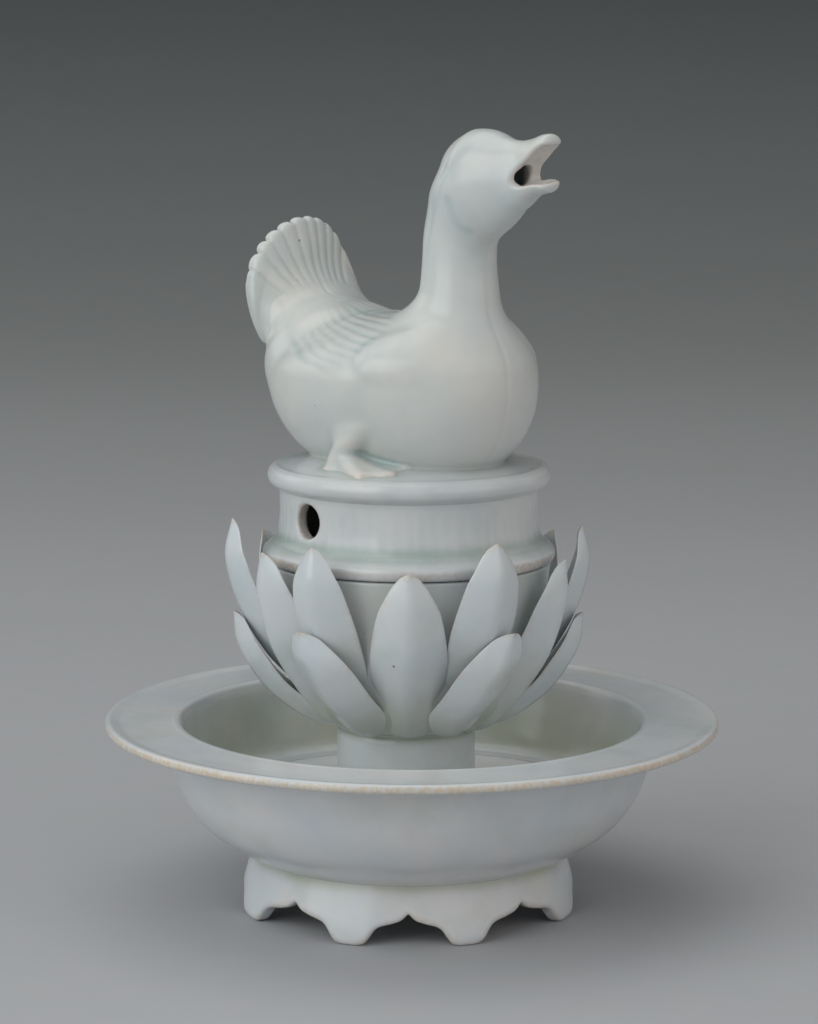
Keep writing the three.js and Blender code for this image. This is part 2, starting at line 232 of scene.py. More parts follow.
def glaze_and_shade_marks(piece, reach=1.3, extra=0, share=1.0):
    """Marks where the glaze pools, up to 1, and where it runs thin, down to -1.

    A share of the mark comes from the hollows and edges of the shape, and the rest is extra, which on
    some pieces also holds painted shade.
    """
    points = points_of(piece)
    normals = normals_of(piece)
    ends = np.empty(len(piece.data.edges) * 2, int)
    piece.data.edges.foreach_get("vertices", ends)
    spans = np.linalg.norm(points[ends[::2]] - points[ends[1::2]], axis=1)
    span = float(np.median(spans))
    hollow = ((neighbour_mean(piece, points) - points) * normals).sum(1) / span**2
    rounds = int(np.clip((reach / span) ** 2, 2, 30))
    hollow = neighbour_mean(piece, np.clip(hollow, -MOST_HOLLOW, MOST_HOLLOW), rounds)
    thinned = (hollow + THINS_FROM).clip(max=0) / THINS_OVER
    depth = np.where(hollow > 0, hollow / POOLS_AT, thinned) * share + extra
    mark = piece.data.attributes.new("glaze_depth_and_painted_shade", "FLOAT", "POINT")
    mark.data.foreach_set("value", np.clip(depth, -1, 1).astype(np.float32))


def turned(name, outline, segments=160):
    """A closed solid of revolution, from (radius, height) points that run up its outside"""
    points, rows = [], []
    for radius, height in outline:
        if radius < 1e-6:
            rows.append([len(points)] * segments)
            points.append((0, 0, height))
            continue
        rows.append(list(range(len(points), len(points) + segments)))
        for k in range(segments):
            turn = 2 * math.pi * k / segments
            points.append((radius * math.cos(turn), radius * math.sin(turn), height))
    faces = []
    for low, high in zip(rows, rows[1:] + rows[:1]):
        for k in range(segments):
            after = (k + 1) % segments
            corners = [low[k], low[after], high[after], high[k]]
            ring = [c for n, c in enumerate(corners) if c != corners[n - 1]]
            if len(ring) > 2:
                faces.append(ring)
    return new_piece(name, points, faces)


# Modelled forms: each says how far outside it the points x, y, z are, and less than 0 inside


def luted(a, b, reach):
    """Two forms luted together, with the joint smoothed over a reach"""
    share = np.clip(0.5 + 0.5 * (b - a) / reach, 0, 1)
    return b + (a - b) * share - reach * share * (1 - share)


def cut_out(form, tool, reach):
    """A form with another cut out of it, with the edge softened over a reach"""
    return -luted(-form, tool, reach)


def common(a, b, reach):
    """What two forms share, with the edge softened over a reach"""
    return -luted(-a, -b, reach)


def egg(x, y, z, centre, radii, top=None, tilt=0.0):
    """An ellipsoid leaning towards +X by a tilt in degrees, perhaps with its top of another height"""
    c, s = math.cos(math.radians(tilt)), math.sin(math.radians(tilt))
    x, y, z = x - centre[0], y - centre[1], z - centre[2]
    along, up = x * c - z * s, x * s + z * c
    height = np.where(up > 0, top or radii[2], radii[2])
    share = np.sqrt((along / radii[0]) ** 2 + (y / radii[1]) ** 2 + (up / height) ** 2)
    slope = np.sqrt(
        (along / radii[0] ** 2) ** 2 + (y / radii[1] ** 2) ** 2 + (up / height**2) ** 2
    )
    return share * (share - 1) / np.maximum(slope, 1e-6)


def limb(along, across, side, stations, cap):
    """A tapered limb over (along, across, half width, half depth) stations, with rounded ends"""
    smooth = through(stations, 10)
    order = np.argsort(smooth[:, 0])
    keys = smooth[order, 0]
    held = np.clip(along, keys[0], keys[-1])
    middle, width, depth = (np.interp(held, keys, smooth[order, n]) for n in (1, 2, 3))
    off, over = across - middle, (along - held) / cap
    share = np.sqrt((side / width) ** 2 + (off / depth) ** 2 + over**2)
    slope = np.sqrt((side / width**2) ** 2 + (off / depth**2) ** 2 + (over / cap) ** 2)
    return share * (share - 1) / np.maximum(slope, 1e-6)


FAR_AWAY = 9.0  # millimetres, further than any joint or edge is softened


def nearby(form, box, x, y, z):
    """A form worked out only inside its box, which has room round it, and far away elsewhere"""
    low, high = box
    made = np.full(np.shape(x), FAR_AWAY)
    inside = (x > low[0]) & (x < high[0]) & (y > low[1]) & (y < high[1])
    inside &= (z > low[2]) & (z < high[2])
    made[inside] = form(x[inside], y[inside], z[inside])
    return made


LONGEST_PULL = 0.6


def pull_to(form, points, rounds):
    """Points brought onto the surface of a form"""
    step = 0.05
    for _ in range(rounds):
        here = form(*points.T)
        slope = np.stack(
            [(form(*(points + step * way).T) - here) / step for way in np.eye(3)], axis=1
        )
        move = -here[:, None] * slope / np.maximum((slope**2).sum(1), 0.05)[:, None]
        size = np.linalg.norm(move, axis=1)[:, None]
        points = points + move * np.minimum(1, LONGEST_PULL / np.maximum(size, 1e-9))
    return points


def skin(name, form, box, step, finer=None):
    """A closed mesh over the surface of a form, with smaller faces where finer(x, y, z) is true"""
    axes = [np.arange(low, high + step, step) for low, high in zip(*box)]
    field = form(*np.meshgrid(*axes, indexing="ij"))
    inside = field < 0
    corners = sum(
        inside[i : i - 1 or None, j : j - 1 or None, k : k - 1 or None].astype(int)
        for i in (0, 1)
        for j in (0, 1)
        for k in (0, 1)
    )
    mixed = (corners > 0) & (corners < 8)
    number = np.full(mixed.shape, -1)
    number[mixed] = np.arange(mixed.sum())
    points = np.stack([a[n] + step / 2 for a, n in zip(axes, np.nonzero(mixed))], axis=1)
    faces = []
    for a in range(3):
        b, c = (a + 1) % 3, (a + 2) % 3
        lower = np.moveaxis(inside, (a, b, c), (0, 1, 2))
        cells = np.moveaxis(number, (a, b, c), (0, 1, 2))
        here, there = lower[:-1, 1:-1, 1:-1], lower[1:, 1:-1, 1:-1]
        i, j, k = np.nonzero(here != there)
        ring = np.stack(
            [
                cells[i, j + 1, k + 1],
                cells[i, j, k + 1],
                cells[i, j, k],
                cells[i, j + 1, k],
            ],
            axis=1,
        )
        facing_back = ~here[i, j, k]
        ring[facing_back] = ring[facing_back][:, ::-1]
        faces.append(ring)
    piece = new_piece(name, pull_to(form, points, 3), np.concatenate(faces).tolist())
    for _ in range(2):
        evened = neighbour_mean(piece, points_of(piece), 1)
        move_points(piece, pull_to(form, evened, 2))
    if finer is not None:
        divide(piece, finer)
        evened = neighbour_mean(piece, points_of(piece), 1)
        move_points(piece, pull_to(form, evened, 3))
    return piece


def divide(piece, finer):
    """Halves the faces of a piece where finer(x, y, z) is true"""
    work = bmesh.new()
    work.from_mesh(piece.data)
    chosen = {
        edge
        for face in work.faces
        if finer(*(face.calc_center_median() / MM))
        for edge in face.edges
    }
    bmesh.ops.subdivide_edges(work, edges=list(chosen), cuts=1, use_grid_fill=True)
    bmesh.ops.triangulate(work, faces=[f for f in work.faces if len(f.verts) > 4])
    work.to_mesh(piece.data)
    work.free()
    piece.data.shade_smooth()


def press(piece, relief):
    """Raises the surface of a piece by relief(points, normals), in millimetres"""
    points, normals = points_of(piece), normals_of(piece)
    move_points(piece, points + normals * relief(points, normals)[:, None])


def line_distance(points, line):
    """How far points in a plane are from a line of points, and how far along it, from 0 to 1"""
    near = np.full(len(points), 1e9)
    share = np.zeros(len(points))
    for n, (start, end) in enumerate(zip(line, line[1:])):
        way = end - start
        t = np.clip(((points - start) @ way) / (way @ way), 0, 1)
        gap = np.linalg.norm(points - start - t[:, None] * way, axis=1)
        closer = gap < near
        near[closer] = gap[closer]
        share[closer] = (n + t[closer]) / (len(line) - 1)
    return near, share


# Nodes


def feed(tree, sockets, values):
    """Gives each socket its value: a plain one, or a link from another socket"""
    for socket, value in zip(sockets, values):
        if isinstance(value, (int, float, list)):
            socket.default_value = value
        else:
            tree.links.new(value, socket)


def maths(tree, operation, a, b):
    """The result of a sum on two values"""
    node = tree.nodes.new("ShaderNodeMath")
    node.operation = operation
    feed(tree, node.inputs, (a, b))
    return node.outputs[0]


def noise(tree, place, scale, detail=2.0, roughness=0.5):
    """Noise over the places given, as a value and as a colour"""
    node = tree.nodes.new("ShaderNodeTexNoise")
    names = ("Vector", "Scale", "Detail", "Roughness")
    feed(tree, [node.inputs[name] for name in names], (place, scale, detail, roughness))
    return node.outputs


def remap(tree, value, low, high, new_low=0, new_high=1):
    """A value moved from one range to another, and held inside it"""
    node = tree.nodes.new("ShaderNodeMapRange")
    names = ("Value", "From Min", "From Max", "To Min", "To Max")
    feed(tree, [node.inputs[name] for name in names], (value, low, high, new_low, new_high))
    return node.outputs["Result"]


def blend(tree, share, first, second, kind="MIX"):
    """The second colour laid over the first by a share from 0 to 1"""
    node = tree.nodes.new("ShaderNodeMix")
    node.data_type = "RGBA"
    node.blend_type = kind
    colours = [s for s in node.inputs if s.type == "RGBA"]
    feed(tree, [node.inputs["Factor"], *colours], (share, first, second))
    return next(s for s in node.outputs if s.type == "RGBA")


# The plate of the lid

PLATE_TOP = through(
    [(11, 111.6), (20, 111.5), (26.5, 110.6), (30.6, 109.7), (32.4, 109.6)], 8
)
PLATE_ROLL = through(
    [(32.4, 109.6), (33.7, 108.8), (34.3, 107.2), (33.9, 105.6), (32.7, 104.6), (31.4, 103.9)], 6
)
PLATE_FACE = np.vstack([PLATE_TOP, PLATE_ROLL[1:9]])


def plate_height(radius):
    """The height of the upper face of the plate"""
    return np.interp(radius, PLATE_FACE[:, 0], PLATE_FACE[:, 1])


# The bird

# Eggs: middle, radii, perhaps another height for the top half, and the tilt in degrees
BODY = (-3.2, 0, 131.5), (36, 28.6, 26.9), 14.6, -4
RUMP = (-25.4, -1.4, 136), (13, 18.8, 10.8), None, -30
BREAST = (13, 0, 127), (19.6, 22.6, 20.4), 23, 0
HEAD = (25.3, 0, 178), (12.2, 9.2, 13.1), None, 28

# The boxes that the smaller forms lie in, from one corner to the other
NECK_BOX = (-10, -24, 130), (40, 24, 194)
HEAD_BOX = (4, -18, 155), (48, 18, 200)
FAN_BOX = (-56, -26, 122), (-10, 30, 178)
SADDLE_BOX = (-44, -18, 128), (-4, 22, 158)
BILL_BOX = (26, -14, 160), (60, 14, 200)
GAPE_BOX = (18, -12, 168), (60, 12, 198)
LEG_BOX = (-12, -38, 106), (26, 38, 132)
BIRD_BOX = (-52, -32, 107), (53, 32, 194.5)

NECK = [  # height, how far forward, half width, half depth
    (138, 14, 16, 16),
    (143, 15.6, 12.8, 12.8),
    (147, 16.6, 10.8, 10.8),
    (152, 17.2, 9.6, 9.6),
    (159, 17.2, 8.9, 8.9),
    (166, 17.6, 8.7, 8.9),
    (172, 19.2, 8.7, 9.1),
    (177, 21, 8.8, 8.6),
    (182, 24, 7, 6.6),
]
MUZZLE = [  # how far forward, height, half width, half height
    (24, 179.6, 8.6, 10.4),
    (32.4, 180.5, 7.2, 8.3),
    (37.4, 181, 4.9, 6.9),
]
UPPER_BILL = [  # how far forward, height of the palate, half width, height over the palate
    (34, 180, 5.6, 8.6),
    (38, 181.5, 4.7, 7.1),
    (41.3, 183.5, 4, 5.7),
    (43, 184.9, 3.9, 4.8),
    (44.8, 186.5, 3.8, 3.8),
    (46.2, 187.5, 3.6, 3),
    (47, 188, 3.2, 2.5),
]
LOWER_BILL = [  # how far forward, height of the rim, half width, depth under the rim
    (30, 177, 5, 6.6),
    (34, 178, 5, 6.8),
    (37, 178.2, 4.7, 5.6),
    (40, 178.7, 4.3, 4.4),
    (43, 179.3, 4, 3.2),
    (45.2, 179.5, 3.6, 2.8),
    (46.6, 179.4, 3.1, 2.4),
]
THROAT = [  # how far forward, height, half width, half height
    (24, 178.6, 4, 2.4),
    (32, 180, 3.8, 2.5),
    (36, 180.6, 3.2, 2.5),
    (39, 180.9, 2.7, 2.6),
]

FAN_ROOT = (-32, 1.4, 137)
FAN_MIDDLE, FAN_ABOVE, FAN_BELOW, FAN_HALF_WIDTH = 13, 17.4, 24, 16.6
FAN_LEAN, FAN_WRAP, FAN_TURN = 0.2, 0.02, math.radians(5)
FAN_SPREAD = 118  # degrees from upright to the lowest feather on each side
FAN_HALF_THICKNESS, FAN_THICKER_RIM = 1.05, 0.15
FEATHER_EDGES = [-FAN_SPREAD, -69, -51.5, -39, -25, -10.5, 4.5, 16, 30, 44, 60, FAN_SPREAD]
SCALLOP, OUTER_SCALLOP = 1.6, 0.5  # how far the rim dips between two feathers


def fan_outline(angle):
    """Where the fan's rim is for an angle from the top: sideways and up from the root"""
    reach = np.where(np.cos(angle) > 0, FAN_ABOVE, FAN_BELOW)
    return FAN_HALF_WIDTH * np.sin(angle), FAN_MIDDLE + reach * np.cos(angle)


FAN_ANGLES = np.radians(np.linspace(0, FAN_SPREAD, 160))
FAN_SIDES, FAN_RISES = fan_outline(FAN_ANGLES)
FAN_BEARINGS = np.arctan2(FAN_SIDES, FAN_RISES)
FAN_REACHES = np.hypot(FAN_SIDES, FAN_RISES)


def fan_places(x, y, z):
    """Where points are on the fan.

    That is how far out from its root, where the rim is there, the angle from upright, how far
    that is past the lowest feathers, and how far ahead of the middle of the fan's thickness.
    """
    x, y, z = x - FAN_ROOT[0], y - FAN_ROOT[1], z - FAN_ROOT[2]
    c, s = math.cos(FAN_TURN), math.sin(FAN_TURN)
    side, rise = y * c + z * s, z * c - y * s
    bearing = np.arctan2(side, rise)
    angle = np.interp(abs(bearing), FAN_BEARINGS, FAN_ANGLES) * np.sign(bearing)
    rim = np.interp(abs(bearing), FAN_BEARINGS, FAN_REACHES)
    over = abs(bearing) - FAN_BEARINGS[-1]
    ahead = x + FAN_LEAN * rise + FAN_WRAP * side**2
    ahead = ahead / np.sqrt(1 + FAN_LEAN**2 + (2 * FAN_WRAP * side) ** 2)
    return np.hypot(side, rise), rim, angle, over, ahead


def feather_share(angle):
    """How far across its feather a point is, from 0 to 1, and which feather it is on"""
    edges = np.radians(FEATHER_EDGES)
    which = np.clip(np.searchsorted(edges, angle) - 1, 0, len(edges) - 2)
    return (angle - edges[which]) / (edges[which + 1] - edges[which]), which


def fan_form(x, y, z):
    """The raised fan of the tail, with a tip to each feather"""
    out, rim, angle, over, ahead = fan_places(x, y, z)
    across, which = feather_share(angle)
    tip = np.sin(math.pi * np.clip(across, 0, 1) ** 0.75) ** 0.35
    outer = (which == 0) | (which == len(FEATHER_EDGES) - 2)
    scallop = np.where(outer, OUTER_SCALLOP, SCALLOP) * (1 - tip)
    scallop = np.where(outer & (abs(angle) > 1.4), 0, scallop)
    past_lowest = out * np.sin(np.clip(over, -1.2, 1.2))
    within = common(out - rim + scallop, past_lowest, reach=1.5)
    half = FAN_HALF_THICKNESS + FAN_THICKER_RIM * out / rim
    return common(abs(ahead) - half, within, reach=1.2)


TOES = [  # bearing outwards from straight ahead in degrees, and length
    (-34, 18.6),
    (-8, 17.2),
    (13, 12.8),
]
ANKLE_AHEAD, ANKLE_OUT = 0.6, 24
TOE_WIDTH, TOE_HEIGHT, TOE_EDGE = 1.9, 0.95, 1.5
TOE_TAPER, TAPER_LENGTH = 0.4, 16
WEB_DEPTH, WEB_HEIGHT = 1.2, 0.35
INSTEP_HEIGHT, INSTEP_LENGTH = 3.4, 6.5
SUNK_IN_PLATE = 1.2
FAR_FOOT = 0.6  # the length of the toes on the far side, as a share of the near side's
FLAT_OF_PLATE = 32  # radius inside the roll at the edge


def foot_form(x, y, z):
    """A webbed foot of three toes on the plate, on both sides"""
    ahead, out = x - ANKLE_AHEAD, abs(y) - ANKLE_OUT
    reach = np.hypot(ahead, out)
    bearing = np.arctan2(out, ahead)
    bearings, lengths = np.radians([t[0] for t in TOES]), [t[1] for t in TOES]
    ridge = sum(band((bearing - b) * reach, 0, TOE_WIDTH) for b in bearings)
    limit = np.interp(bearing, bearings, lengths) * np.where(y > 0, FAR_FOOT, 1)
    spacing = bearings[1] - bearings[0]
    web = np.sin(math.pi * np.clip((bearing - bearings[0]) / spacing, 0, 2)) ** 2
    limit = limit - WEB_DEPTH * web
    outer = np.maximum(bearing - bearings[2], bearings[0] - bearing)
    past_toes = reach * np.sin(np.clip(outer, -1, 1)) - TOE_EDGE
    edge = common(reach - limit, past_toes, 1.6)
    plate = plate_height(np.minimum(np.hypot(x, y), FLAT_OF_PLATE))
    instep = INSTEP_HEIGHT * band(reach, 0, INSTEP_LENGTH)
    taper = 1 - TOE_TAPER * reach / TAPER_LENGTH
    top = plate + WEB_HEIGHT + instep + TOE_HEIGHT * ridge * taper
    above = common(z - top, edge, 1.4)
    return common(above, plate - SUNK_IN_PLATE - z, 0.5)


SADDLE = [  # how far forward, height, half width, half height
    (-37, 146, 15, 8),
    (-33, 143.4, 15, 8),
    (-29, 141, 15, 8),
    (-25, 138.8, 14.5, 8),
    (-20, 137.4, 14, 8),
    (-12, 136, 13, 8),
]

SHANK = [  # height, how far forward, half width, half depth
    (110.4, 0.2, 2.9, 3.6),
    (113.6, 1.6, 2.6, 3.1),
    (117, 3.7, 2.6, 3.2),
    (121, 5.6, 2.5, 3.9),
    (126, 7, 2, 4.2),
]
SHANK_OUT = [(110.4, 23.8), (117, 23.8), (121, 22.6), (126, 19.6)]  # height, how far out

SADDLE_LEFT = 2  # how far the middle of the saddle is to the left
PALATE_HOLLOW = 0.9  # how far each half of the bill is hollowed out
LOWER_RIM_SLANT = 0.16  # how much higher the rim of the lower bill is for each millimetre left
GAPE_CORNER = 38.5  # how far forward the corners of the mouth are
THROAT_RIGHT = 0.9
SKIRT_WIDTH = 0.5  # how far the clay is spread out where the body meets the plate
BIRD_SUNK = 0.9  # how far the body goes down into the plate


def neck_form(x, y, z):
    """The neck, from inside the breast up into the head"""
    return limb(z, x, y, NECK, cap=5)


def head_form(x, y, z):
    """The skull and the muzzle that the bill grows from"""
    return luted(egg(x, y, z, *HEAD), limb(x, z, y, MUZZLE, cap=2.2), reach=2)


def bird_solid(x, y, z):
    """The body, breast, neck and head as one rounded form"""
    form = luted(egg(x, y, z, *BODY), egg(x, y, z, *RUMP), reach=5)
    form = luted(form, egg(x, y, z, *BREAST), reach=4)
    form = luted(form, nearby(neck_form, NECK_BOX, x, y, z), reach=5)
    return luted(form, nearby(head_form, HEAD_BOX, x, y, z), reach=4.5)


def saddle_form(x, y, z):
    """The fairing between the back and the fan"""
    return limb(x, z, y - SADDLE_LEFT, SADDLE, cap=2)


def upper_bill_form(x, y, z):
    """The upper half of the bill, with the hidden half of its limb below the palate"""
    return limb(x, z, y, UPPER_BILL, cap=1.3)


def lower_bill_form(x, y, z):
    """The lower half of the bill, with the hidden half of its limb above the rim"""
    return limb(x, z, y, LOWER_BILL, cap=1.3)


def gape_form(x, y, z):
    """The wedge between the palate and the lower bill, and the way in to the hollow head"""
    palate, below = through(UPPER_BILL, 8), through(LOWER_BILL, 8)
    hollow = np.clip(1 - (y / 3) ** 2, 0, 1) * falling(x, 47, 3)
    over = z - np.interp(x, palate[:, 0], palate[:, 1]) - PALATE_HOLLOW * hollow
    rim = np.interp(x, below[:, 0], below[:, 1]) + LOWER_RIM_SLANT * y
    under = rim - PALATE_HOLLOW * hollow - z
    wedge = common(common(over * 0.75, under, 1.4), GAPE_CORNER - x, 3.4)
    return luted(wedge, limb(x, z, y + THROAT_RIGHT, THROAT, cap=1.5), reach=0.6)


def shank_form(x, y, z):
    """The shanks of both legs"""
    out = np.interp(z, *np.transpose(SHANK_OUT))
    return limb(z, x, abs(y) - out, SHANK, cap=1.6)


def bird_form(x, y, z):
    """The whole bird: hollow, open underneath and at the bill, with its tail and its legs"""
    solid = bird_solid(x, y, z)
    form = luted(solid, nearby(saddle_form, SADDLE_BOX, x, y, z), reach=4)
    form = luted(form, nearby(fan_form, FAN_BOX, x, y, z), reach=5)
    form = luted(form, nearby(lower_bill_form, BILL_BOX, x, y, z), reach=3.2)
    form = luted(form, nearby(upper_bill_form, BILL_BOX, x, y, z), reach=1.2)
    form = luted(form, nearby(shank_form, LEG_BOX, x, y, z), reach=3.4)
    seat = plate_height(np.hypot(x, y))
    skirt = common(luted(form, z - seat + 0.1, 1.2), form - SKIRT_WIDTH, 0.4)
    form = np.where(z < seat + 5, np.minimum(form, skirt), form)
    form = luted(form, nearby(foot_form, LEG_BOX, x, y, z), reach=1.2)
    form = common(form, seat - BIRD_SUNK - z, 0.3)
    form = cut_out(form, solid + WALL, 0.7)
    return cut_out(form, nearby(gape_form, GAPE_BOX, x, y, z), 0.8)


def fine_parts(x, y, z):
    """Where the fan and the bill are, which need smaller faces"""
    return x < -27.5 and z > 135 or x > 33 and z > 172


def make_bird():
    """The bird with its legs and tail, its lines pressed in and its seam down the front"""
    bird = skin("bird", bird_form, BIRD_BOX, step=0.72, finer=fine_parts)
    press(bird, feather_relief)
    raised, depth = modelled_lines(points_of(bird), normals_of(bird))
    move_points(bird, points_of(bird) + normals_of(bird) * raised[:, None])
    # the depth holds pooled glaze in the lines and painted shade behind the neck and on the lowest
    # feather of the fan
    glaze_and_shade_marks(bird, reach=1.0, extra=depth, share=0.45)
    return bird


FEATHER_RELIEF = 0.6


def feather_relief(points, normals):
    """Each feather of the fan swells between the grooves at its edges"""
    out, rim, angle, _, ahead = fan_places(*points.T)
    across, _ = feather_share(angle)
    step = np.clip(across / 0.12, 0, 1) * (1 - 0.85 * np.clip(across, 0, 1))
    swell = 0.6 * step + 0.4 * np.sin(math.pi * np.clip(across, 0, 1))
    share = out / rim
    fade = rising(share, 0.35, 0.3) * falling(share, 1, 0.05)
    return FEATHER_RELIEF * (swell - 0.45) * fade * falling(abs(ahead), 4, 1.5)


# Lines on the bird: how far forward, how far out from the middle on both sides, and height
CREST = [
    (28.8, 6, 187.4),
    (26, 7.6, 185.7),
    (23.6, 9, 182.2),
    (20.9, 9.2, 177.7),
    (18.5, 8.8, 173.1),
    (16.5, 8.5, 167.9),
    (14.6, 8.2, 160),
]
NAPE = [
    (25.7, 6.3, 187.6),
    (22.4, 8, 184),
    (19.5, 8.4, 179.3),
    (17.2, 8.5, 173.4),
    (15.6, 8.3, 167.8),
    (13.6, 8, 159),
]
CHEEK = [
    (22.6, 9.5, 176.5),
    (23.1, 9.3, 173.7),
    (24, 7.6, 169.8),
    (26, 6, 167.6),
    (28.6, 4.8, 167.3),
]
DRAWN = [(CREST, 0.3, 0.8), (NAPE, 0.22, 0.6), (CHEEK, 0.28, 1.2)]  # each line, depth and width
FIRST_COVERT = [
    (-28.4, 10.8, 144.9),
    (-25.6, 14.5, 140.9),
    (-16.4, 22.1, 138.3),
    (-8.4, 26.6, 136.1),
    (-2.4, 27.9, 134.8),
    (4, 27.9, 133.4),
]
MIDDLE_COVERT = [
    (-25.8, 6.1, 146.3),
    (-18.3, 10.9, 143.7),
    (-6.9, 17.9, 142.6),
    (1.5, 21, 141.5),
    (7.2, 21.7, 140.8),
    (10.8, 22.2, 140.2),
]
LAST_COVERT = [
    (-22.6, 1.6, 146.7),
    (-15.8, 2.5, 145.7),
    (-10, 4.6, 145.6),
    (-4, 7, 145.6),
    (4, 10.5, 146),
    (8.9, 13.6, 146.3),
]
COVERT_LINES = 9
FIRST_COVERT_GROOVE, COVERT_GROOVE = (0.45, 1), (0.3, 0.6)  # depth and width
WING = [  # the shoulder of the folded wing, seen from the side: how far forward, and height
    (9.3, 136.6),
    (8.4, 140),
    (11.2, 142.6),
    (17.2, 144.5),
    (21.9, 145.3),
    (25.3, 143.1),
    (27.5, 139.5),
    (27.4, 136.4),
    (25.6, 133.6),
    (21, 131.3),
    (14.4, 131.9),
    (10.6, 133.9),
    (9.3, 136.6),
]
WING_STEP, WING_SWELL = 0.8, 0.14
SEAM_DEPTH, SEAM_WIDTH = 0.22, 0.5


def covert_lines():
    """The feathers that sweep from the tail to the wing, spaced from the first to the last"""
    first, middle, last = (np.array(c) for c in (FIRST_COVERT, MIDDLE_COVERT, LAST_COVERT))
    made = []
    for t in np.linspace(0, 1, COVERT_LINES):
        line = first * (1 - t) * (1 - 2 * t) + middle * 4 * t * (1 - t) + last * t * (2 * t - 1)
        made.append(pull_to(bird_solid, through(line, 5), 3))
    return made


def inside_outline(places, outline):
    """Whether points in a plane are inside a closed line"""
    crossed = np.zeros(len(places), int)
    for a, b in zip(outline, outline[1:]):
        between = (a[1] > places[:, 1]) != (b[1] > places[:, 1])
        rise = b[1] - a[1] if b[1] != a[1] else 1e-9
        crossed += between & (places[:, 0] < a[0] + (places[:, 1] - a[1]) / rise * (b[0] - a[0]))
    return crossed % 2 == 1


def drawn_lines(points):
    """How far drawn lines raise the points, less than 0 where they cut in, and pooled glaze"""
    both_sides = points * [1, 0, 1] + abs(points) * [0, 1, 0]
    lines = [(through(line, 5), depth, width) for line, depth, width in DRAWN]
    for n, line in enumerate(covert_lines()):
        lines.append((line, *(COVERT_GROOVE if n else FIRST_COVERT_GROOVE)))
    raised, pooled = np.zeros(len(points)), np.zeros(len(points))
    for line, depth, width in lines:
        gap, along = line_distance(both_sides, line)
        fade = np.clip(np.minimum(along, 1 - along) / 0.15, 0, 1)
        fade *= 1.1 - 0.5 * along
        raised -= depth * fade * band(gap, 0, width)
        pooled += 0.4 * fade * np.exp(-((gap / width / 1.2) ** 2))
    return raised, pooled


def folded_wings(points):
    """How high the shoulders of the wings stand at the points, and how much glaze pools there"""
    outline = through(WING, 5)
    side_view = points[:, [0, 2]]
    gap, _ = line_distance(side_view, outline)
    within = np.where(inside_outline(side_view, outline), gap, -gap)
    side = rising(abs(points[:, 1]), 6, 6)
    side *= falling(points[:, 0], 27, 10) * rising(points[:, 2], 130.5, 6)
    shoulder = WING_STEP / (1 + np.exp(-within / 0.6)) + WING_SWELL * np.clip(within, 0, 4)
    return shoulder * side, 0.22 * band(within, -1.2, 1.1) * side


def modelled_lines(points, normals):
    """How far the drawn and modelled lines raise the bird's surface, and the depth of the glaze, with
    painted shade behind the neck and on the lowest feather of the fan
    """
    raised, pooled = drawn_lines(points)
    wing, wing_pooled = folded_wings(points)
    raised += wing
    pooled += wing_pooled
    x, y, z = points.T
    # painted shade: the back behind the neck is darkened with the pooled tone, where shade falls in
    # the saddle
    painted_shade_behind_neck = np.exp(-(((x + 9) / 10) ** 2) - ((y + 3) / 6) ** 2) * (z > 141)
    pooled += 0.4 * painted_shade_behind_neck
    out, rim, angle, _, ahead = fan_places(x, y, z)
    # painted shade: the lowest feather on the near side of the fan is darkened with the pooled tone
    low_feather_painted_shade = falling(angle, -1.1, 0.25) * np.clip(out / rim / 0.3, 0, 1)
    pooled += 0.45 * low_feather_painted_shade * (out < rim + 1) * (abs(ahead) < 3)
    seam = np.clip(normals[:, 0] / 0.5, 0, 1) * falling(z, 166, 20)
    raised -= SEAM_DEPTH * seam * band(y, 0, SEAM_WIDTH)
    thin = -0.1 * falling(z, 114, 2)
    thin -= 0.8 * np.clip(1 - abs(gape_form(x, y, z)) / 0.5, 0, 1) * (x > 35)
    outside = bird_solid(x, y, z) > -1
    return raised * outside, pooled * outside + thin


# The rest of the lid

VENT_TURN = math.radians(-94.2)
VENT_HEIGHT, VENT_RADIUS = 98.2, 4.1
DRUM_MIDDLE, DRUM_HALF_HEIGHT = 95.9, 9.6
DRUM_BOX = (-37, -37, 85.2), (37, 37, 106.6)
DRUM_OUTSIDE = [  # height, radius
    (86.2, 35.2),
    (88.6, 35.5),
    (90, 34.4),
    (91.4, 32.6),
    (94, 31.7),
    (99, 31.3),
    (105.6, 31.6),
]
DRUM_INSIDE = [(86.2, 29.8), (90, 28.8), (92, 28), (105.6, 28)]
FLUTES, FLUTE_DEPTH = 61, 0.03
FLANGE_EDGE, FLANGE_JOINT = 87.7, 92.4  # heights where clay shows bare and where glaze pools


def drum_form(x, y, z):
    """The waisted wall under the plate, its flange below, and the round vent"""
    radius = np.hypot(x, y)
    outside, inside = through(DRUM_OUTSIDE, 6), np.array(DRUM_INSIDE)
    outer = radius - np.interp(z, outside[:, 0], outside[:, 1])
    inner = np.interp(z, inside[:, 0], inside[:, 1]) - radius
    wall = common(outer, inner, 0.8)
    wall = common(wall, abs(z - DRUM_MIDDLE) - DRUM_HALF_HEIGHT, 0.9)
    across, ahead = vent_places(x, y)
    vent = np.hypot(across, z - VENT_HEIGHT) - VENT_RADIUS
    return cut_out(wall, np.where(ahead > 0, vent, FAR_AWAY), 1.0)


def vent_places(x, y):
    """How far points are to the side of the middle of the vent, and how far towards it"""
    c, s = math.cos(VENT_TURN), math.sin(VENT_TURN)
    return y * c - x * s, x * c + y * s


def drum_relief(points, normals):
    """Faint upright flutes where the clay was trimmed"""
    turn = np.arctan2(points[:, 1], points[:, 0])
    fade = rising(points[:, 2], 91.5, 2) * falling(points[:, 2], 103, 2)
    outside = radius_of(points) > 30
    return FLUTE_DEPTH * np.sin(FLUTES * turn + 1.4 * np.sin(9 * turn)) * fade * outside


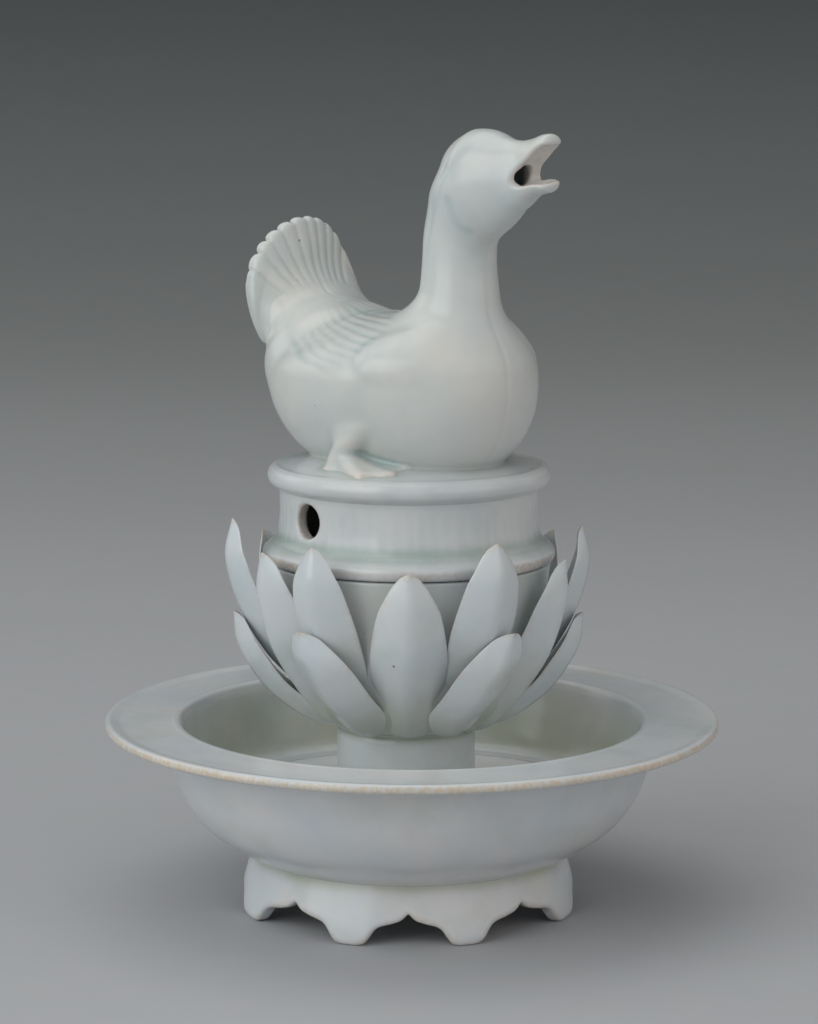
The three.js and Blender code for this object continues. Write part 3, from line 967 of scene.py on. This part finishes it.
def make_drum():
    """The drum, with bare clay in patches at the edge of its flange and dark glaze above it"""
    drum = skin("waisted_drum", drum_form, DRUM_BOX, step=0.6)
    press(drum, drum_relief)
    x, y, high = points_of(drum).T
    radius, turn = np.hypot(x, y), np.arctan2(y, x)
    patchy = 0.75 + 0.3 * np.sin(3 * turn + 0.6) + 0.2 * np.sin(7 * turn)
    bare = 0.3 * (high < 91) - 1.2 * patchy * band(high, FLANGE_EDGE, 1.1) * (radius > 34)
    pooled = 0.8 * band(high, FLANGE_JOINT, 1.4) * (radius > 31)
    across, _ = vent_places(x, y)
    from_vent = np.hypot(across, high - VENT_HEIGHT)
    in_vent = (from_vent < VENT_RADIUS + 0.5) * (radius < 31) * (np.cos(turn - VENT_TURN) > 0.9)
    glaze_and_shade_marks(drum, reach=1.0, extra=bare + pooled - 0.8 * in_vent, share=0.6)
    return drum


def make_plate():
    """The plate that the bird sits on, with glaze pooled round the bird and its feet"""
    underside = through([(31.4, 103.9), (28, 103.8), (24, 106.4), (14, 107.8), (11.4, 108.2)], 5)
    hole = through([(11.4, 108.2), (10.9, 109), (10.8, 110.8), (11, 111.6)], 4)
    section = (PLATE_TOP, hole[:-1], underside[:-1], PLATE_ROLL[1:-1])
    plate = turned("glazed_plate", np.vstack([line[::-1] for line in section]))
    points = points_of(plate)
    gap = np.maximum(bird_form(*points.T), 0)
    on_top = points[:, 2] > plate_height(radius_of(points)) - 1
    glaze_and_shade_marks(plate, reach=1.2, extra=0.6 * band(gap, 0, 1.3) * on_top)
    return plate


SEATING_RING = [  # radius, height
    (27.4, 86.4),
    (27.2, 85),
    (27.4, 81.6),
    (28.2, 81),
    (29.6, 81),
    (30.2, 81.8),
    (30.4, 85),
    (30.4, 86.4),
]


def make_seating_ring():
    """The ring under the lid that drops into the mouth of the cup"""
    ring = turned("seating_ring", through(SEATING_RING, 4), 96)
    glaze_and_shade_marks(ring)
    return ring


# The lotus cup, its petals and its stem

# Radius and height
CUP_OUTSIDE = [(17, 45.3), (22, 47.6), (27, 53), (30.4, 62), (32.8, 74), (34.3, 84.6)]


def make_cup():
    """The hollow cup, with painted shade low down under the petals and glaze pooled where they are
    luted on
    """
    lip = through([(34.3, 84.6), (34.4, 85.6), (33.8, 86), (32.2, 86), (31.5, 85.6), (31.4, 84.6)], 4)
    inside = through([(31.4, 84.6), (29.8, 74), (27.2, 62), (22, 54), (10, 51.4), (0, 51)], 7)
    outside = through(CUP_OUTSIDE, 7)
    bottom = [(0, CUP_OUTSIDE[0][1])]
    cup = turned("lotus_bowl", np.vstack([bottom, outside, lip[1:], inside[1:]]))
    points = points_of(cup)
    # painted shade low down under the petals, in the pooled tone, together with glaze pooled where
    # they are luted on
    low = 1.1 * falling(points[:, 2], 62, 16) * (radius_of(points) > 16)
    glaze_and_shade_marks(cup, reach=1.2, extra=low + 0.25)
    return cup


POINTED = [  # share of the way up a petal, and share of its half width
    (0, 0.7),
    (0.12, 0.8),
    (0.3, 0.93),
    (0.55, 1),
    (0.78, 0.84),
    (0.91, 0.55),
    (0.975, 0.27),
    (1, 0.03),
]
BLUNT = [
    (0, 0.45),
    (0.12, 0.72),
    (0.3, 0.92),
    (0.64, 1),
    (0.84, 0.86),
    (0.95, 0.55),
    (0.99, 0.24),
    (1, 0.03),
]
LEAF_HALF_THICKNESS = 1.1
LEAF_SECTOR = math.radians(21)  # how far round the cup a petal may reach on each side
KEEL_ROUNDING = 0.012


def signed_power(value, power):
    """A power of how large a value is, with the value's own sign"""
    return math.copysign(abs(value) ** power, value)


def make_leaf(name, rib, half, outline):
    """One petal, set on the +X side: a keeled leaf of clay with rounded edges"""
    stations, around = 44, 40
    ribs = through(rib, 12)
    run = np.r_[0, np.cumsum(np.linalg.norm(np.diff(ribs, axis=0), axis=1))]
    run = run / run[-1]
    widths = through(outline, 12)
    turns = [2 * math.pi * k / around for k in range(around)]
    points, faces = [], []
    for i in range(stations + 1):
        along = 1 - (1 - i / stations) ** 1.35
        width = half * np.interp(along, widths[:, 0], widths[:, 1])
        r, z = (np.interp(along, run, ribs[:, n]) for n in (0, 1))
        ahead = [np.interp(min(along + 0.03, 1), run, ribs[:, n]) for n in (0, 1)]
        behind = [np.interp(max(along - 0.03, 0), run, ribs[:, n]) for n in (0, 1)]
        way = np.subtract(ahead, behind)
        way = way / np.linalg.norm(way)
        thick = LEAF_HALF_THICKNESS * (1 - 0.55 * along**3) * min(1, 0.25 + width / 4)
        for turn in turns:
            side = signed_power(math.cos(turn), 0.8)
            depth = thick * (1 - 0.35 * abs(side)) * signed_power(math.sin(turn), 0.8)
            keel = math.sqrt(side**2 + KEEL_ROUNDING) - math.sqrt(KEEL_ROUNDING)
            bow = 0.4 * width * keel + (width * side) ** 2 / 70
            inward = bow * np.clip(0.2 + along / 0.4, 0, 1) + thick - depth
            x = r - inward * way[1]
            reach = min(width, x * math.tan(LEAF_SECTOR))
            points.append((x, reach * side, z + inward * way[0]))
    rings = [list(range(i * around, (i + 1) * around)) for i in range(stations + 1)]
    for low, high in zip(rings, rings[1:]):
        for k in range(around):
            after = (k + 1) % around
            faces.append([low[k], low[after], high[after], high[k]])
    faces.append(rings[0][::-1])
    faces.append(rings[-1])
    leaf = new_piece(name, points, faces)
    share = np.repeat(np.arange(stations + 1) / stations, around)
    edge = np.tile([abs(math.cos(turn)) ** 8 for turn in turns], stations + 1)
    root, tip = np.clip(1 - share / 0.4, 0, 1), rising(share, 0.88, 0.12)
    glaze_and_shade_marks(leaf, extra=0.9 * root - 1.1 * tip**2 - 0.35 * edge, share=0)
    return leaf


def petals_tree():
    """Sets a petal at each point, turned round the cup by its bearing and spread sideways"""
    tree = bpy.data.node_groups.new("petals_round_a_cup", "GeometryNodeTree")
    face = tree.interface
    face.new_socket("Places", in_out="INPUT", socket_type="NodeSocketGeometry")
    for name, kind in (
        ("Petal", "NodeSocketObject"),
        ("Size", "NodeSocketFloat"),
        ("Unevenness", "NodeSocketFloat"),
        ("Root Height", "NodeSocketFloat"),
        ("Seed", "NodeSocketInt"),
        ("Finish", "NodeSocketMaterial"),
    ):
        face.new_socket(name, in_out="INPUT", socket_type=kind)
    face.new_socket("Petals", in_out="OUTPUT", socket_type="NodeSocketGeometry")
    nodes, links = tree.nodes, tree.links

    def add(kind, **settings):
        node = nodes.new(kind)
        for key, value in settings.items():
            setattr(node, key, value)
        return node

    def marked(name):
        node = add("GeometryNodeInputNamedAttribute", data_type="FLOAT")
        node.inputs["Name"].default_value = name
        return node.outputs["Attribute"]

    given = add("NodeGroupInput").outputs
    jog = add("FunctionNodeRandomValue", data_type="FLOAT")
    low, high = [s for s in jog.inputs if s.type == "VALUE" and s.enabled]
    links.new(maths(tree, "MULTIPLY", given["Unevenness"], -1), low)
    links.new(given["Unevenness"], high)
    links.new(given["Seed"], jog.inputs["Seed"])
    uneven = next(s for s in jog.outputs if s.enabled)
    bearing = add("ShaderNodeCombineXYZ")
    links.new(maths(tree, "ADD", marked("bearing"), uneven), bearing.inputs["Z"])
    petal = add("GeometryNodeObjectInfo")
    links.new(given["Petal"], petal.inputs["Object"])
    setting = add("GeometryNodeInstanceOnPoints")
    links.new(given["Places"], setting.inputs["Points"])
    links.new(petal.outputs["Geometry"], setting.inputs["Instance"])
    links.new(bearing.outputs[0], setting.inputs["Rotation"])
    links.new(maths(tree, "MULTIPLY", given["Size"], marked("size")), setting.inputs["Scale"])
    real = add("GeometryNodeRealizeInstances")
    links.new(setting.outputs[0], real.inputs[0])
    place = add("GeometryNodeInputPosition")
    apart = add("ShaderNodeSeparateXYZ")
    links.new(place.outputs[0], apart.inputs[0])
    rise = maths(tree, "SUBTRACT", apart.outputs["Z"], given["Root Height"])
    spin = add("ShaderNodeVectorRotate", rotation_type="Z_AXIS")
    links.new(place.outputs[0], spin.inputs["Vector"])
    rise = maths(tree, "ABSOLUTE", rise, 0)
    links.new(maths(tree, "MULTIPLY", rise, marked("spread")), spin.inputs["Angle"])
    moved = add("GeometryNodeSetPosition")
    links.new(real.outputs[0], moved.inputs["Geometry"])
    links.new(spin.outputs[0], moved.inputs["Position"])
    finish = add("GeometryNodeSetMaterial")
    links.new(moved.outputs[0], finish.inputs["Geometry"])
    links.new(given["Finish"], finish.inputs["Material"])
    end = add("NodeGroupOutput")
    links.new(finish.outputs[0], end.inputs[0])
    return tree


PETAL_ROOT_HEIGHT = 52  # where a petal's sideways spread starts
PETAL_UNEVENNESS = math.radians(1)


def set_petals(tree, name, facts, leaf, finish):
    """The petals of one tier as a plain mesh. Spreads are in degrees for each millimetre up"""
    bearings = np.array(facts["bearings"]) + FRONT + BASE_TURN
    places = bpy.data.meshes.new(name + "_places")
    places.from_pydata([(0, 0, 0)] * len(bearings), [], [])
    for key, values in (
        ("bearing", np.radians(bearings)),
        ("spread", np.radians(facts["spreads"]) / MM),
        ("size", np.array(facts["sizes"])),
    ):
        mark = places.attributes.new(key, "FLOAT", "POINT")
        mark.data.foreach_set("value", values.astype(np.float32))
    made = bpy.data.objects.new(name, places)
    bpy.context.scene.collection.objects.link(made)
    work = made.modifiers.new("petals", "NODES")
    work.node_group = tree
    values = {
        "Petal": leaf,
        "Size": 1.0,
        "Unevenness": PETAL_UNEVENNESS,
        "Root Height": PETAL_ROOT_HEIGHT * MM,
        "Seed": facts["seed"],
        "Finish": finish,
    }
    for socket in tree.interface.items_tree:
        if socket.in_out == "INPUT" and socket.name in values:
            work[socket.identifier] = values[socket.name]
    depsgraph = bpy.context.evaluated_depsgraph_get()
    mesh = bpy.data.meshes.new_from_object(made.evaluated_get(depsgraph))
    made.modifiers.clear()
    for key in ("bearing", "spread", "size"):
        if key in mesh.attributes:
            mesh.attributes.remove(mesh.attributes[key])
    mesh.shade_smooth()
    made.data = mesh
    bpy.data.meshes.remove(places)
    bpy.data.objects.remove(leaf)
    return made


TIERS = {  # ribs are (radius, height); bearings are in degrees round from the front of the base
    "upper": dict(
        rib=[(24, 52), (34, 62), (41, 74), (44.2, 86), (42.5, 95.1)],
        half=8.3,
        outline=POINTED,
        bearings=[-33.2, 28.4, 88, 150, 211, 283],
        spreads=[0, 0, 0, 0, 0, 0],
        sizes=[0.996, 1.01, 0.995, 1, 1, 1.025],
        seed=3,
    ),
    "middle": dict(
        rib=[
            (16.4, 45),
            (20, 45.9),
            (24.4, 48.4),
            (31.4, 56),
            (38.5, 67),
            (42.3, 80),
            (42.1, 89.9),
        ],
        half=9.2,
        outline=POINTED,
        bearings=[0, 61, 120, 180, 240, 303.5],
        spreads=[0, 0.05, 0, 0, 0, 0.05],
        sizes=[0.995, 0.99, 1, 1, 1, 1.02],
        seed=5,
    ),
    "lower": dict(
        rib=[
            (16.4, 44.9),
            (20.4, 45.6),
            (25, 47.3),
            (30, 50.6),
            (36.3, 56.4),
            (42, 66),
            (43.1, 74.3),
        ],
        half=8,
        outline=BLUNT,
        bearings=[-26.8, 26.4, 83, 154, 206, 279],
        spreads=[-0.42, 0.4, 0, -0.4, 0.4, 0],
        sizes=[1, 1, 0.99, 1, 1, 1],
        seed=8,
    ),
}


STEM_OUTSIDE = [  # radius, height
    (19.4, 25.9),
    (18.3, 26.9),
    (17.5, 29),
    (17.1, 33),
    (16.9, 38),
    (16.9, 43),
    (16.6, 44.6),
    (17.4, 45.6),
]
STEM_SHIFT = -0.6  # towards the right of the camera, so the stem stands a little to its left
STEM_JOINTS = (44.8, 1.2), (26.3, 1.5)  # height, and how wide the glaze pools


def make_stem():
    """The short stem between the cup and the floor of the basin"""
    outside = through(STEM_OUTSIDE, 6)
    bottom, top = STEM_OUTSIDE[0][1], STEM_OUTSIDE[-1][1]
    stem = turned("stem_of_cup", np.vstack([[(0, bottom)], outside, [(0, top)]]), 120)
    points = points_of(stem)
    move_points(stem, points + STEM_SHIFT * np.array(CAMERA_RIGHT))
    pooled = sum(band(points[:, 2], *joint) for joint in STEM_JOINTS)
    glaze_and_shade_marks(stem, reach=1.2, extra=pooled)
    return stem


# The basin and its feet

BASIN_OUTSIDE = [  # radius, height, as in the lists that follow
    (38.2, 14.1),
    (40.6, 15.2),
    (45.8, 18.1),
    (51.7, 22.7),
    (56, 29.1),
    (58.8, 36.7),
    (60.6, 41.6),
    (64, 43.3),
    (72.6, 44.7),
]
BASIN_LIP = [
    (72.6, 44.7),
    (74, 45),
    (74.9, 45.6),
    (75, 46.5),
    (74.6, 47.2),
    (73.8, 47.4),
    (72.8, 47.2),
    (71.4, 46.9),
]
BASIN_RIM = [(71.4, 46.9), (66, 46.8), (59.6, 46.9), (57.9, 47), (56.7, 46.6), (56, 45)]
BASIN_WELL = [
    (56, 45),
    (54.9, 39),
    (53.6, 34),
    (52.5, 30.8),
    (51.4, 29),
    (50.2, 28.3),
    (49.3, 27.8),
    (48.6, 26.9),
    (47.6, 26.4),
    (40, 26.1),
]
BASIN_FLOOR = [(20, 26), (0, 26)]
BASIN_UNDERSIDE = [(34.2, 14.1), (34.2, 15.6), (32.6, 17.6), (27, 19.8), (12, 20.5), (0, 20.6)]
BASIN_LEAN = 0.8  # how far the rim is towards the right of the camera, over the foot
RIM_EDGE, WELL_MOUTH, WELL_FOOT = 75.1, 57, 48.5  # radii


def make_basin():
    """The basin, with clay showing at the edge of its rim and dark glaze on the well's wall"""
    sections = (
        through(BASIN_UNDERSIDE, 6)[::-1],
        through(BASIN_OUTSIDE, 8),
        through(BASIN_LIP, 4)[1:],
        through(BASIN_RIM, 6)[1:],
        through(BASIN_WELL, 6)[1:],
        BASIN_FLOOR,
    )
    basin = turned("wide_rimmed_basin", np.vstack(sections), 200)
    points = points_of(basin)
    lean = BASIN_LEAN * rising(points[:, 2], 14, 31)
    move_points(basin, points + lean[:, None] * np.array(CAMERA_RIGHT))
    radius, high = radius_of(points), points[:, 2]
    edge = -1.1 * band(radius, RIM_EDGE, 0.4) * (high > 44)
    facing_in = (normals_of(basin) * points)[:, :2].sum(1) < 0.3 * radius
    wall = falling(radius, WELL_MOUTH, 3) * (high > 24)
    wall *= np.clip((radius - WELL_FOOT) / 4, -0.05, 1)
    glaze_and_shade_marks(basin, reach=1.2, extra=edge + 0.8 * facing_in * wall, share=0.4)
    return basin


FEET = 8
FOOT_STEP = 360 / FEET
FOOT_UNEVENNESS = 2.9  # degrees that the feet stray from even steps
FOOT_RADIUS, FOOT_FLARE, FOOT_WALL = 41.7, 3.4, 4
FOOT_HEIGHT, FOOT_JOINT, FOOT_TOP = 13.8, 14.2, 14.8
FOOT_RING_BOX = (-43, -43, -1), (43, 43, 16)
FOOT_EDGE = [  # share of the way from the middle of a foot to that of an arch, and height
    (0, 0),
    (0.14, 0.05),
    (0.24, 0.5),
    (0.32, 1.8),
    (0.4, 3.5),
    (0.5, 4.6),
    (0.68, 5.3),
    (0.87, 6.2),
    (1, 7.8),
]


def foot_ring_form(x, y, z):
    """A flared wall, cut below into feet with cusped arches between them"""
    outer = FOOT_RADIUS - FOOT_FLARE * (np.clip(z, 0, FOOT_HEIGHT) / FOOT_HEIGHT) ** 1.5
    wall = abs(np.hypot(x, y) - outer + FOOT_WALL / 2) - FOOT_WALL / 2
    turn = np.degrees(np.arctan2(y, x)) - BASE_TURN
    turn = turn + FOOT_UNEVENNESS * np.sin(3 * np.radians(turn - FRONT))
    half_step = FOOT_STEP / 2
    share = 1 - abs((turn - half_step) % FOOT_STEP / half_step - 1)
    edge = through(FOOT_EDGE, 6)
    order = np.argsort(edge[:, 0])
    low = np.interp(share, edge[order, 0], edge[order, 1])
    form = common(wall, (low - z) * 0.75, 1.3)
    return common(form, z - FOOT_TOP, 0.3)


def make_feet():
    """The ring of feet, with glaze pooled where it meets the basin"""
    feet = skin("scalloped_feet", foot_ring_form, FOOT_RING_BOX, step=0.6)
    pooled = 0.8 * band(points_of(feet)[:, 2], FOOT_JOINT, 1.6)
    glaze_and_shade_marks(feet, reach=1.0, extra=pooled, share=0.5)
    return feet


# Finishes


def colour(red, green, blue):
    """A colour from its values on a screen, 0 to 255, as the shader takes it"""
    values = [v / 255 for v in (red, green, blue)]
    return [v / 12.92 if v <= 0.04045 else ((v + 0.055) / 1.055) ** 2.4 for v in values] + [1]


# Even, pooled and thin glaze as a screen shows them, the share of specks, and the smoothness. The
# pooled tone also paints shade where the marks ask for it
GLAZES = {
    "bird_glaze": ((206, 208, 205), (168, 183, 183), (220, 207, 198), 0.012, 0.8),
    "lid_glaze": ((205, 207, 208), (168, 180, 174), (194, 180, 168), 0.02, 0.84),
    "lotus_glaze": ((208, 212, 214), (172, 178, 166), (196, 178, 160), 0.012, 0.84),
    "basin_glaze": ((209, 211, 213), (180, 184, 168), (203, 188, 168), 0.008, 0.84),
}
SPECK_TONE, SPECK_SCALE, SPECK_SIZE = (92, 74, 58), 330, 0.18
FINE_GRAIN = 420  # how many of the smallest mottles there are to a metre
NOISE_REACH = 0.3, 0.7  # nearly all values of a noise lie between these
COOL_MOTTLE, WARM_MOTTLE = [0.91, 0.96, 0.99, 1], [1.07, 1.035, 1.0, 1]
DARK_CLAY, PALE_CLAY = (176, 146, 122), (214, 196, 178)


def bumpy(tree, height, strength, distance):
    """Gives a material's surface a bump from a height"""
    bump = tree.nodes.new("ShaderNodeBump")
    names = ("Height", "Strength", "Distance")
    feed(tree, [bump.inputs[name] for name in names], (height, strength, distance))
    tree.links.new(bump.outputs["Normal"], tree.nodes["Principled BSDF"].inputs["Normal"])


def glaze_group():
    """Clear glaze over pale clay: greener where it pools, warmer where it runs thin, specked; the
    pooled tone also paints shade where the marks ask for it
    """
    tree = bpy.data.node_groups.new("glaze_over_clay", "ShaderNodeTree")
    face = tree.interface
    for name, kind in (
        ("Even", "NodeSocketColor"),
        ("Pooled", "NodeSocketColor"),
        ("Thin", "NodeSocketColor"),
        ("Speck", "NodeSocketColor"),
        ("Depth", "NodeSocketFloat"),
        ("Speck Share", "NodeSocketFloat"),
        ("Smoothness", "NodeSocketFloat"),
        ("Place", "NodeSocketVector"),
    ):
        face.new_socket(name, in_out="INPUT", socket_type=kind)
    for name, kind in (
        ("Color", "NodeSocketColor"),
        ("Roughness", "NodeSocketFloat"),
        ("Height", "NodeSocketFloat"),
    ):
        face.new_socket(name, in_out="OUTPUT", socket_type=kind)
    given = tree.nodes.new("NodeGroupInput").outputs
    result = tree.nodes.new("NodeGroupOutput").inputs

    def cloud(low, high, scale, detail=2.0, roughness=0.5, reach=NOISE_REACH):
        """A value that drifts between low and high over the piece"""
        made = noise(tree, given["Place"], scale, detail, roughness)["Fac"]
        return remap(tree, made, *reach, low, high)

    cloudy = maths(tree, "ADD", given["Depth"], cloud(-0.24, 0.24, 62, 3, 0.55))
    pooled = remap(tree, cloudy, 0, 1)
    worn = maths(tree, "ADD", given["Depth"], cloud(-0.15, 0.15, FINE_GRAIN))
    broken = cloud(0.35, 1.15, 1000, 2, 0.6, reach=(0.38, 0.6))
    thin = maths(tree, "MULTIPLY", remap(tree, worn, -0.1, -1), broken)
    tone = blend(tree, pooled, given["Even"], given["Pooled"])
    tone = blend(tree, thin, tone, given["Thin"])
    mottle = blend(tree, cloud(0, 1, 42, 4, 0.6), COOL_MOTTLE, WARM_MOTTLE)
    tone = blend(tree, 1.0, tone, mottle, "MULTIPLY")
    specks = tree.nodes.new("ShaderNodeTexVoronoi")
    feed(tree, [specks.inputs["Vector"], specks.inputs["Scale"]], (given["Place"], SPECK_SCALE))
    chances = tree.nodes.new("ShaderNodeSeparateColor")
    feed(tree, chances.inputs, [specks.outputs["Color"]])
    few = maths(tree, "LESS_THAN", chances.outputs[0], given["Speck Share"])
    size = maths(tree, "MULTIPLY", chances.outputs[1], SPECK_SIZE)
    near = maths(tree, "SUBTRACT", size, specks.outputs["Distance"])
    mark = maths(tree, "MULTIPLY", few, remap(tree, near, 0, 0.08, 0, 0.85))
    tone = blend(tree, mark, tone, given["Speck"])
    dull = cloud(1.0, 1.06, FINE_GRAIN)
    rough = maths(tree, "SUBTRACT", dull, given["Smoothness"])
    waves = noise(tree, given["Place"], 60, 1, 0.4)["Fac"]
    feed(tree, [result[name] for name in ("Color", "Roughness", "Height")], (tone, rough, waves))
    return tree


def new_finish(name):
    """A material, its tree, and the inputs of its surface"""
    made = bpy.data.materials.new(name)
    made.use_nodes = True
    return made, made.node_tree, made.node_tree.nodes["Principled BSDF"].inputs


def glaze_finish(name, group, even, pooled, thin, speck_share, smoothness):
    """A glossy glaze with its own tones, on pieces marked by glaze_and_shade_marks"""
    made, tree, surface = new_finish(name)
    surface["IOR"].default_value = 1.5
    glaze = tree.nodes.new("ShaderNodeGroup")
    glaze.node_tree = group
    depth = tree.nodes.new("ShaderNodeAttribute")
    depth.attribute_name = "glaze_depth_and_painted_shade"
    values = {
        "Even": colour(*even),
        "Pooled": colour(*pooled),
        "Thin": colour(*thin),
        "Speck": colour(*SPECK_TONE),
        "Depth": depth.outputs["Fac"],
        "Speck Share": speck_share,
        "Smoothness": smoothness,
        "Place": tree.nodes.new("ShaderNodeTexCoord").outputs["Object"],
    }
    feed(tree, [glaze.inputs[key] for key in values], values.values())
    tree.links.new(glaze.outputs["Color"], surface["Base Color"])
    tree.links.new(glaze.outputs["Roughness"], surface["Roughness"])
    bumpy(tree, glaze.outputs["Height"], 0.03, 0.002)
    return made


def bare_clay():
    """Unglazed fired clay, dry and fine-grained"""
    made, tree, surface = new_finish("bare_clay")
    place = tree.nodes.new("ShaderNodeTexCoord").outputs["Object"]
    grain = noise(tree, place, 700, 4)["Fac"]
    tones = tree.nodes.new("ShaderNodeValToRGB")
    tones.color_ramp.elements[0].color = colour(*DARK_CLAY)
    tones.color_ramp.elements[1].color = colour(*PALE_CLAY)
    feed(tree, tones.inputs, [grain])
    tree.links.new(tones.outputs["Color"], surface["Base Color"])
    tree.links.new(remap(tree, grain, 0, 1, 0.6, 0.85), surface["Roughness"])
    bumpy(tree, grain, 0.3, 0.0005)
    return made


def give_finish(piece, finish):
    """Makes a finish the only one of a piece"""
    piece.data.materials.clear()
    piece.data.materials.append(finish)


# The floor

# How far back and how high the paper runs, in metres
SWEEP = [(-1.2, 0), (0.2, 0), (0.9, 0), (1.5, 0.1), (1.9, 0.5), (2.1, 1.3), (2.15, 2.4)]
SWEEP_HALF_WIDTH = 3.0
PAPER_FROM_TO = -0.2, 2.2  # where the tones start and end, in metres back
PAPER_RISE = 2.5  # how many metres back one metre up the sweep counts for
# painted shade: the paper's tone darkens from near to far, as the light falls off towards the back
PAPER_PAINTED_SHADE_TONES = (  # share of the way from near to far, and the tone that a screen shows
    (0, (184, 185, 188)),
    (0.3, (171, 172, 174)),
    (0.55, (143, 145, 145)),
    (0.8, (114, 118, 118)),
    (1, (88, 92, 93)),
)


def paper_with_painted_shade():
    """Matt paper with painted shade, darker towards the back"""
    made, tree, surface = new_finish("paper_with_painted_shade")
    surface["Roughness"].default_value = 0.8
    surface["Specular IOR Level"].default_value = 0.2
    place = tree.nodes.new("ShaderNodeTexCoord").outputs["Object"]
    back = tree.nodes.new("ShaderNodeVectorMath")
    back.operation = "DOT_PRODUCT"
    feed(tree, back.inputs, (place, [BACKWARDS.x, BACKWARDS.y, PAPER_RISE]))
    ramp = tree.nodes.new("ShaderNodeValToRGB")
    stops = ramp.color_ramp.elements
    for n, (position, tone) in enumerate(PAPER_PAINTED_SHADE_TONES):
        if 0 < n < len(PAPER_PAINTED_SHADE_TONES) - 1:
            stops.new(position)
        stops[n].color = colour(*tone)
    feed(tree, ramp.inputs, [remap(tree, back.outputs["Value"], *PAPER_FROM_TO)])
    grain = noise(tree, place, 60)["Color"]
    tone = blend(tree, 0.04, ramp.outputs["Color"], grain, "MULTIPLY")
    tree.links.new(tone, surface["Base Color"])
    return made


def lay_floor():
    """A plain paper sweep that runs back from under the censer and curves up behind it"""
    profile = through(SWEEP, 10)
    points, faces = [], []
    for back, high in profile:
        for side in (-SWEEP_HALF_WIDTH, SWEEP_HALF_WIDTH):
            place = BACKWARDS * back + CAMERA_RIGHT * side
            points.append((place.x / MM, place.y / MM, high / MM))
    for n in range(len(profile) - 1):
        faces.append([2 * n, 2 * n + 1, 2 * n + 3, 2 * n + 2])
    floor = new_piece("paper_sweep", points, faces)
    give_finish(floor, paper_with_painted_shade())


# Putting it together


def settle(piece, body, slot, *nodes):
    """Gives a piece its finish and its place on a body of the frame, and hides the nodes it stands
    for
    """
    give_finish(piece, finishes[slot])
    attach(piece, body)
    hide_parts(*nodes)


set_up_camera()
light_studio()
lay_floor()

group = glaze_group()
finishes = {name: glaze_finish(name, group, *facts) for name, facts in GLAZES.items()}
finishes["bare_clay"] = bare_clay()

settle(
    make_bird(), "lid", "bird_glaze",
    "bird_right_half", "bird_left_half", "upper_mandible", "lower_mandible", "tail_fan",
    "right_leg", "left_leg",
)
settle(make_plate(), "lid", "lid_glaze", "lid_plate")
settle(make_drum(), "lid", "lid_glaze", "lid_drum")
settle(make_seating_ring(), "lid", "bare_clay", "lid_collar")
settle(make_cup(), "base", "lotus_glaze", "lotus_cup")
tree = petals_tree()
for tier, facts in TIERS.items():
    leaf = make_leaf(tier + "_leaf", facts["rib"], facts["half"], facts["outline"])
    petals = set_petals(tree, tier + "_petals", facts, leaf, finishes["lotus_glaze"])
    settle(petals, "base", "lotus_glaze", *[f"{tier}_petal_{n}" for n in range(1, 7)])
settle(make_stem(), "base", "lotus_glaze", "stem")
settle(make_basin(), "base", "basin_glaze", "basin")
settle(make_feet(), "base", "basin_glaze", "foot_ring")
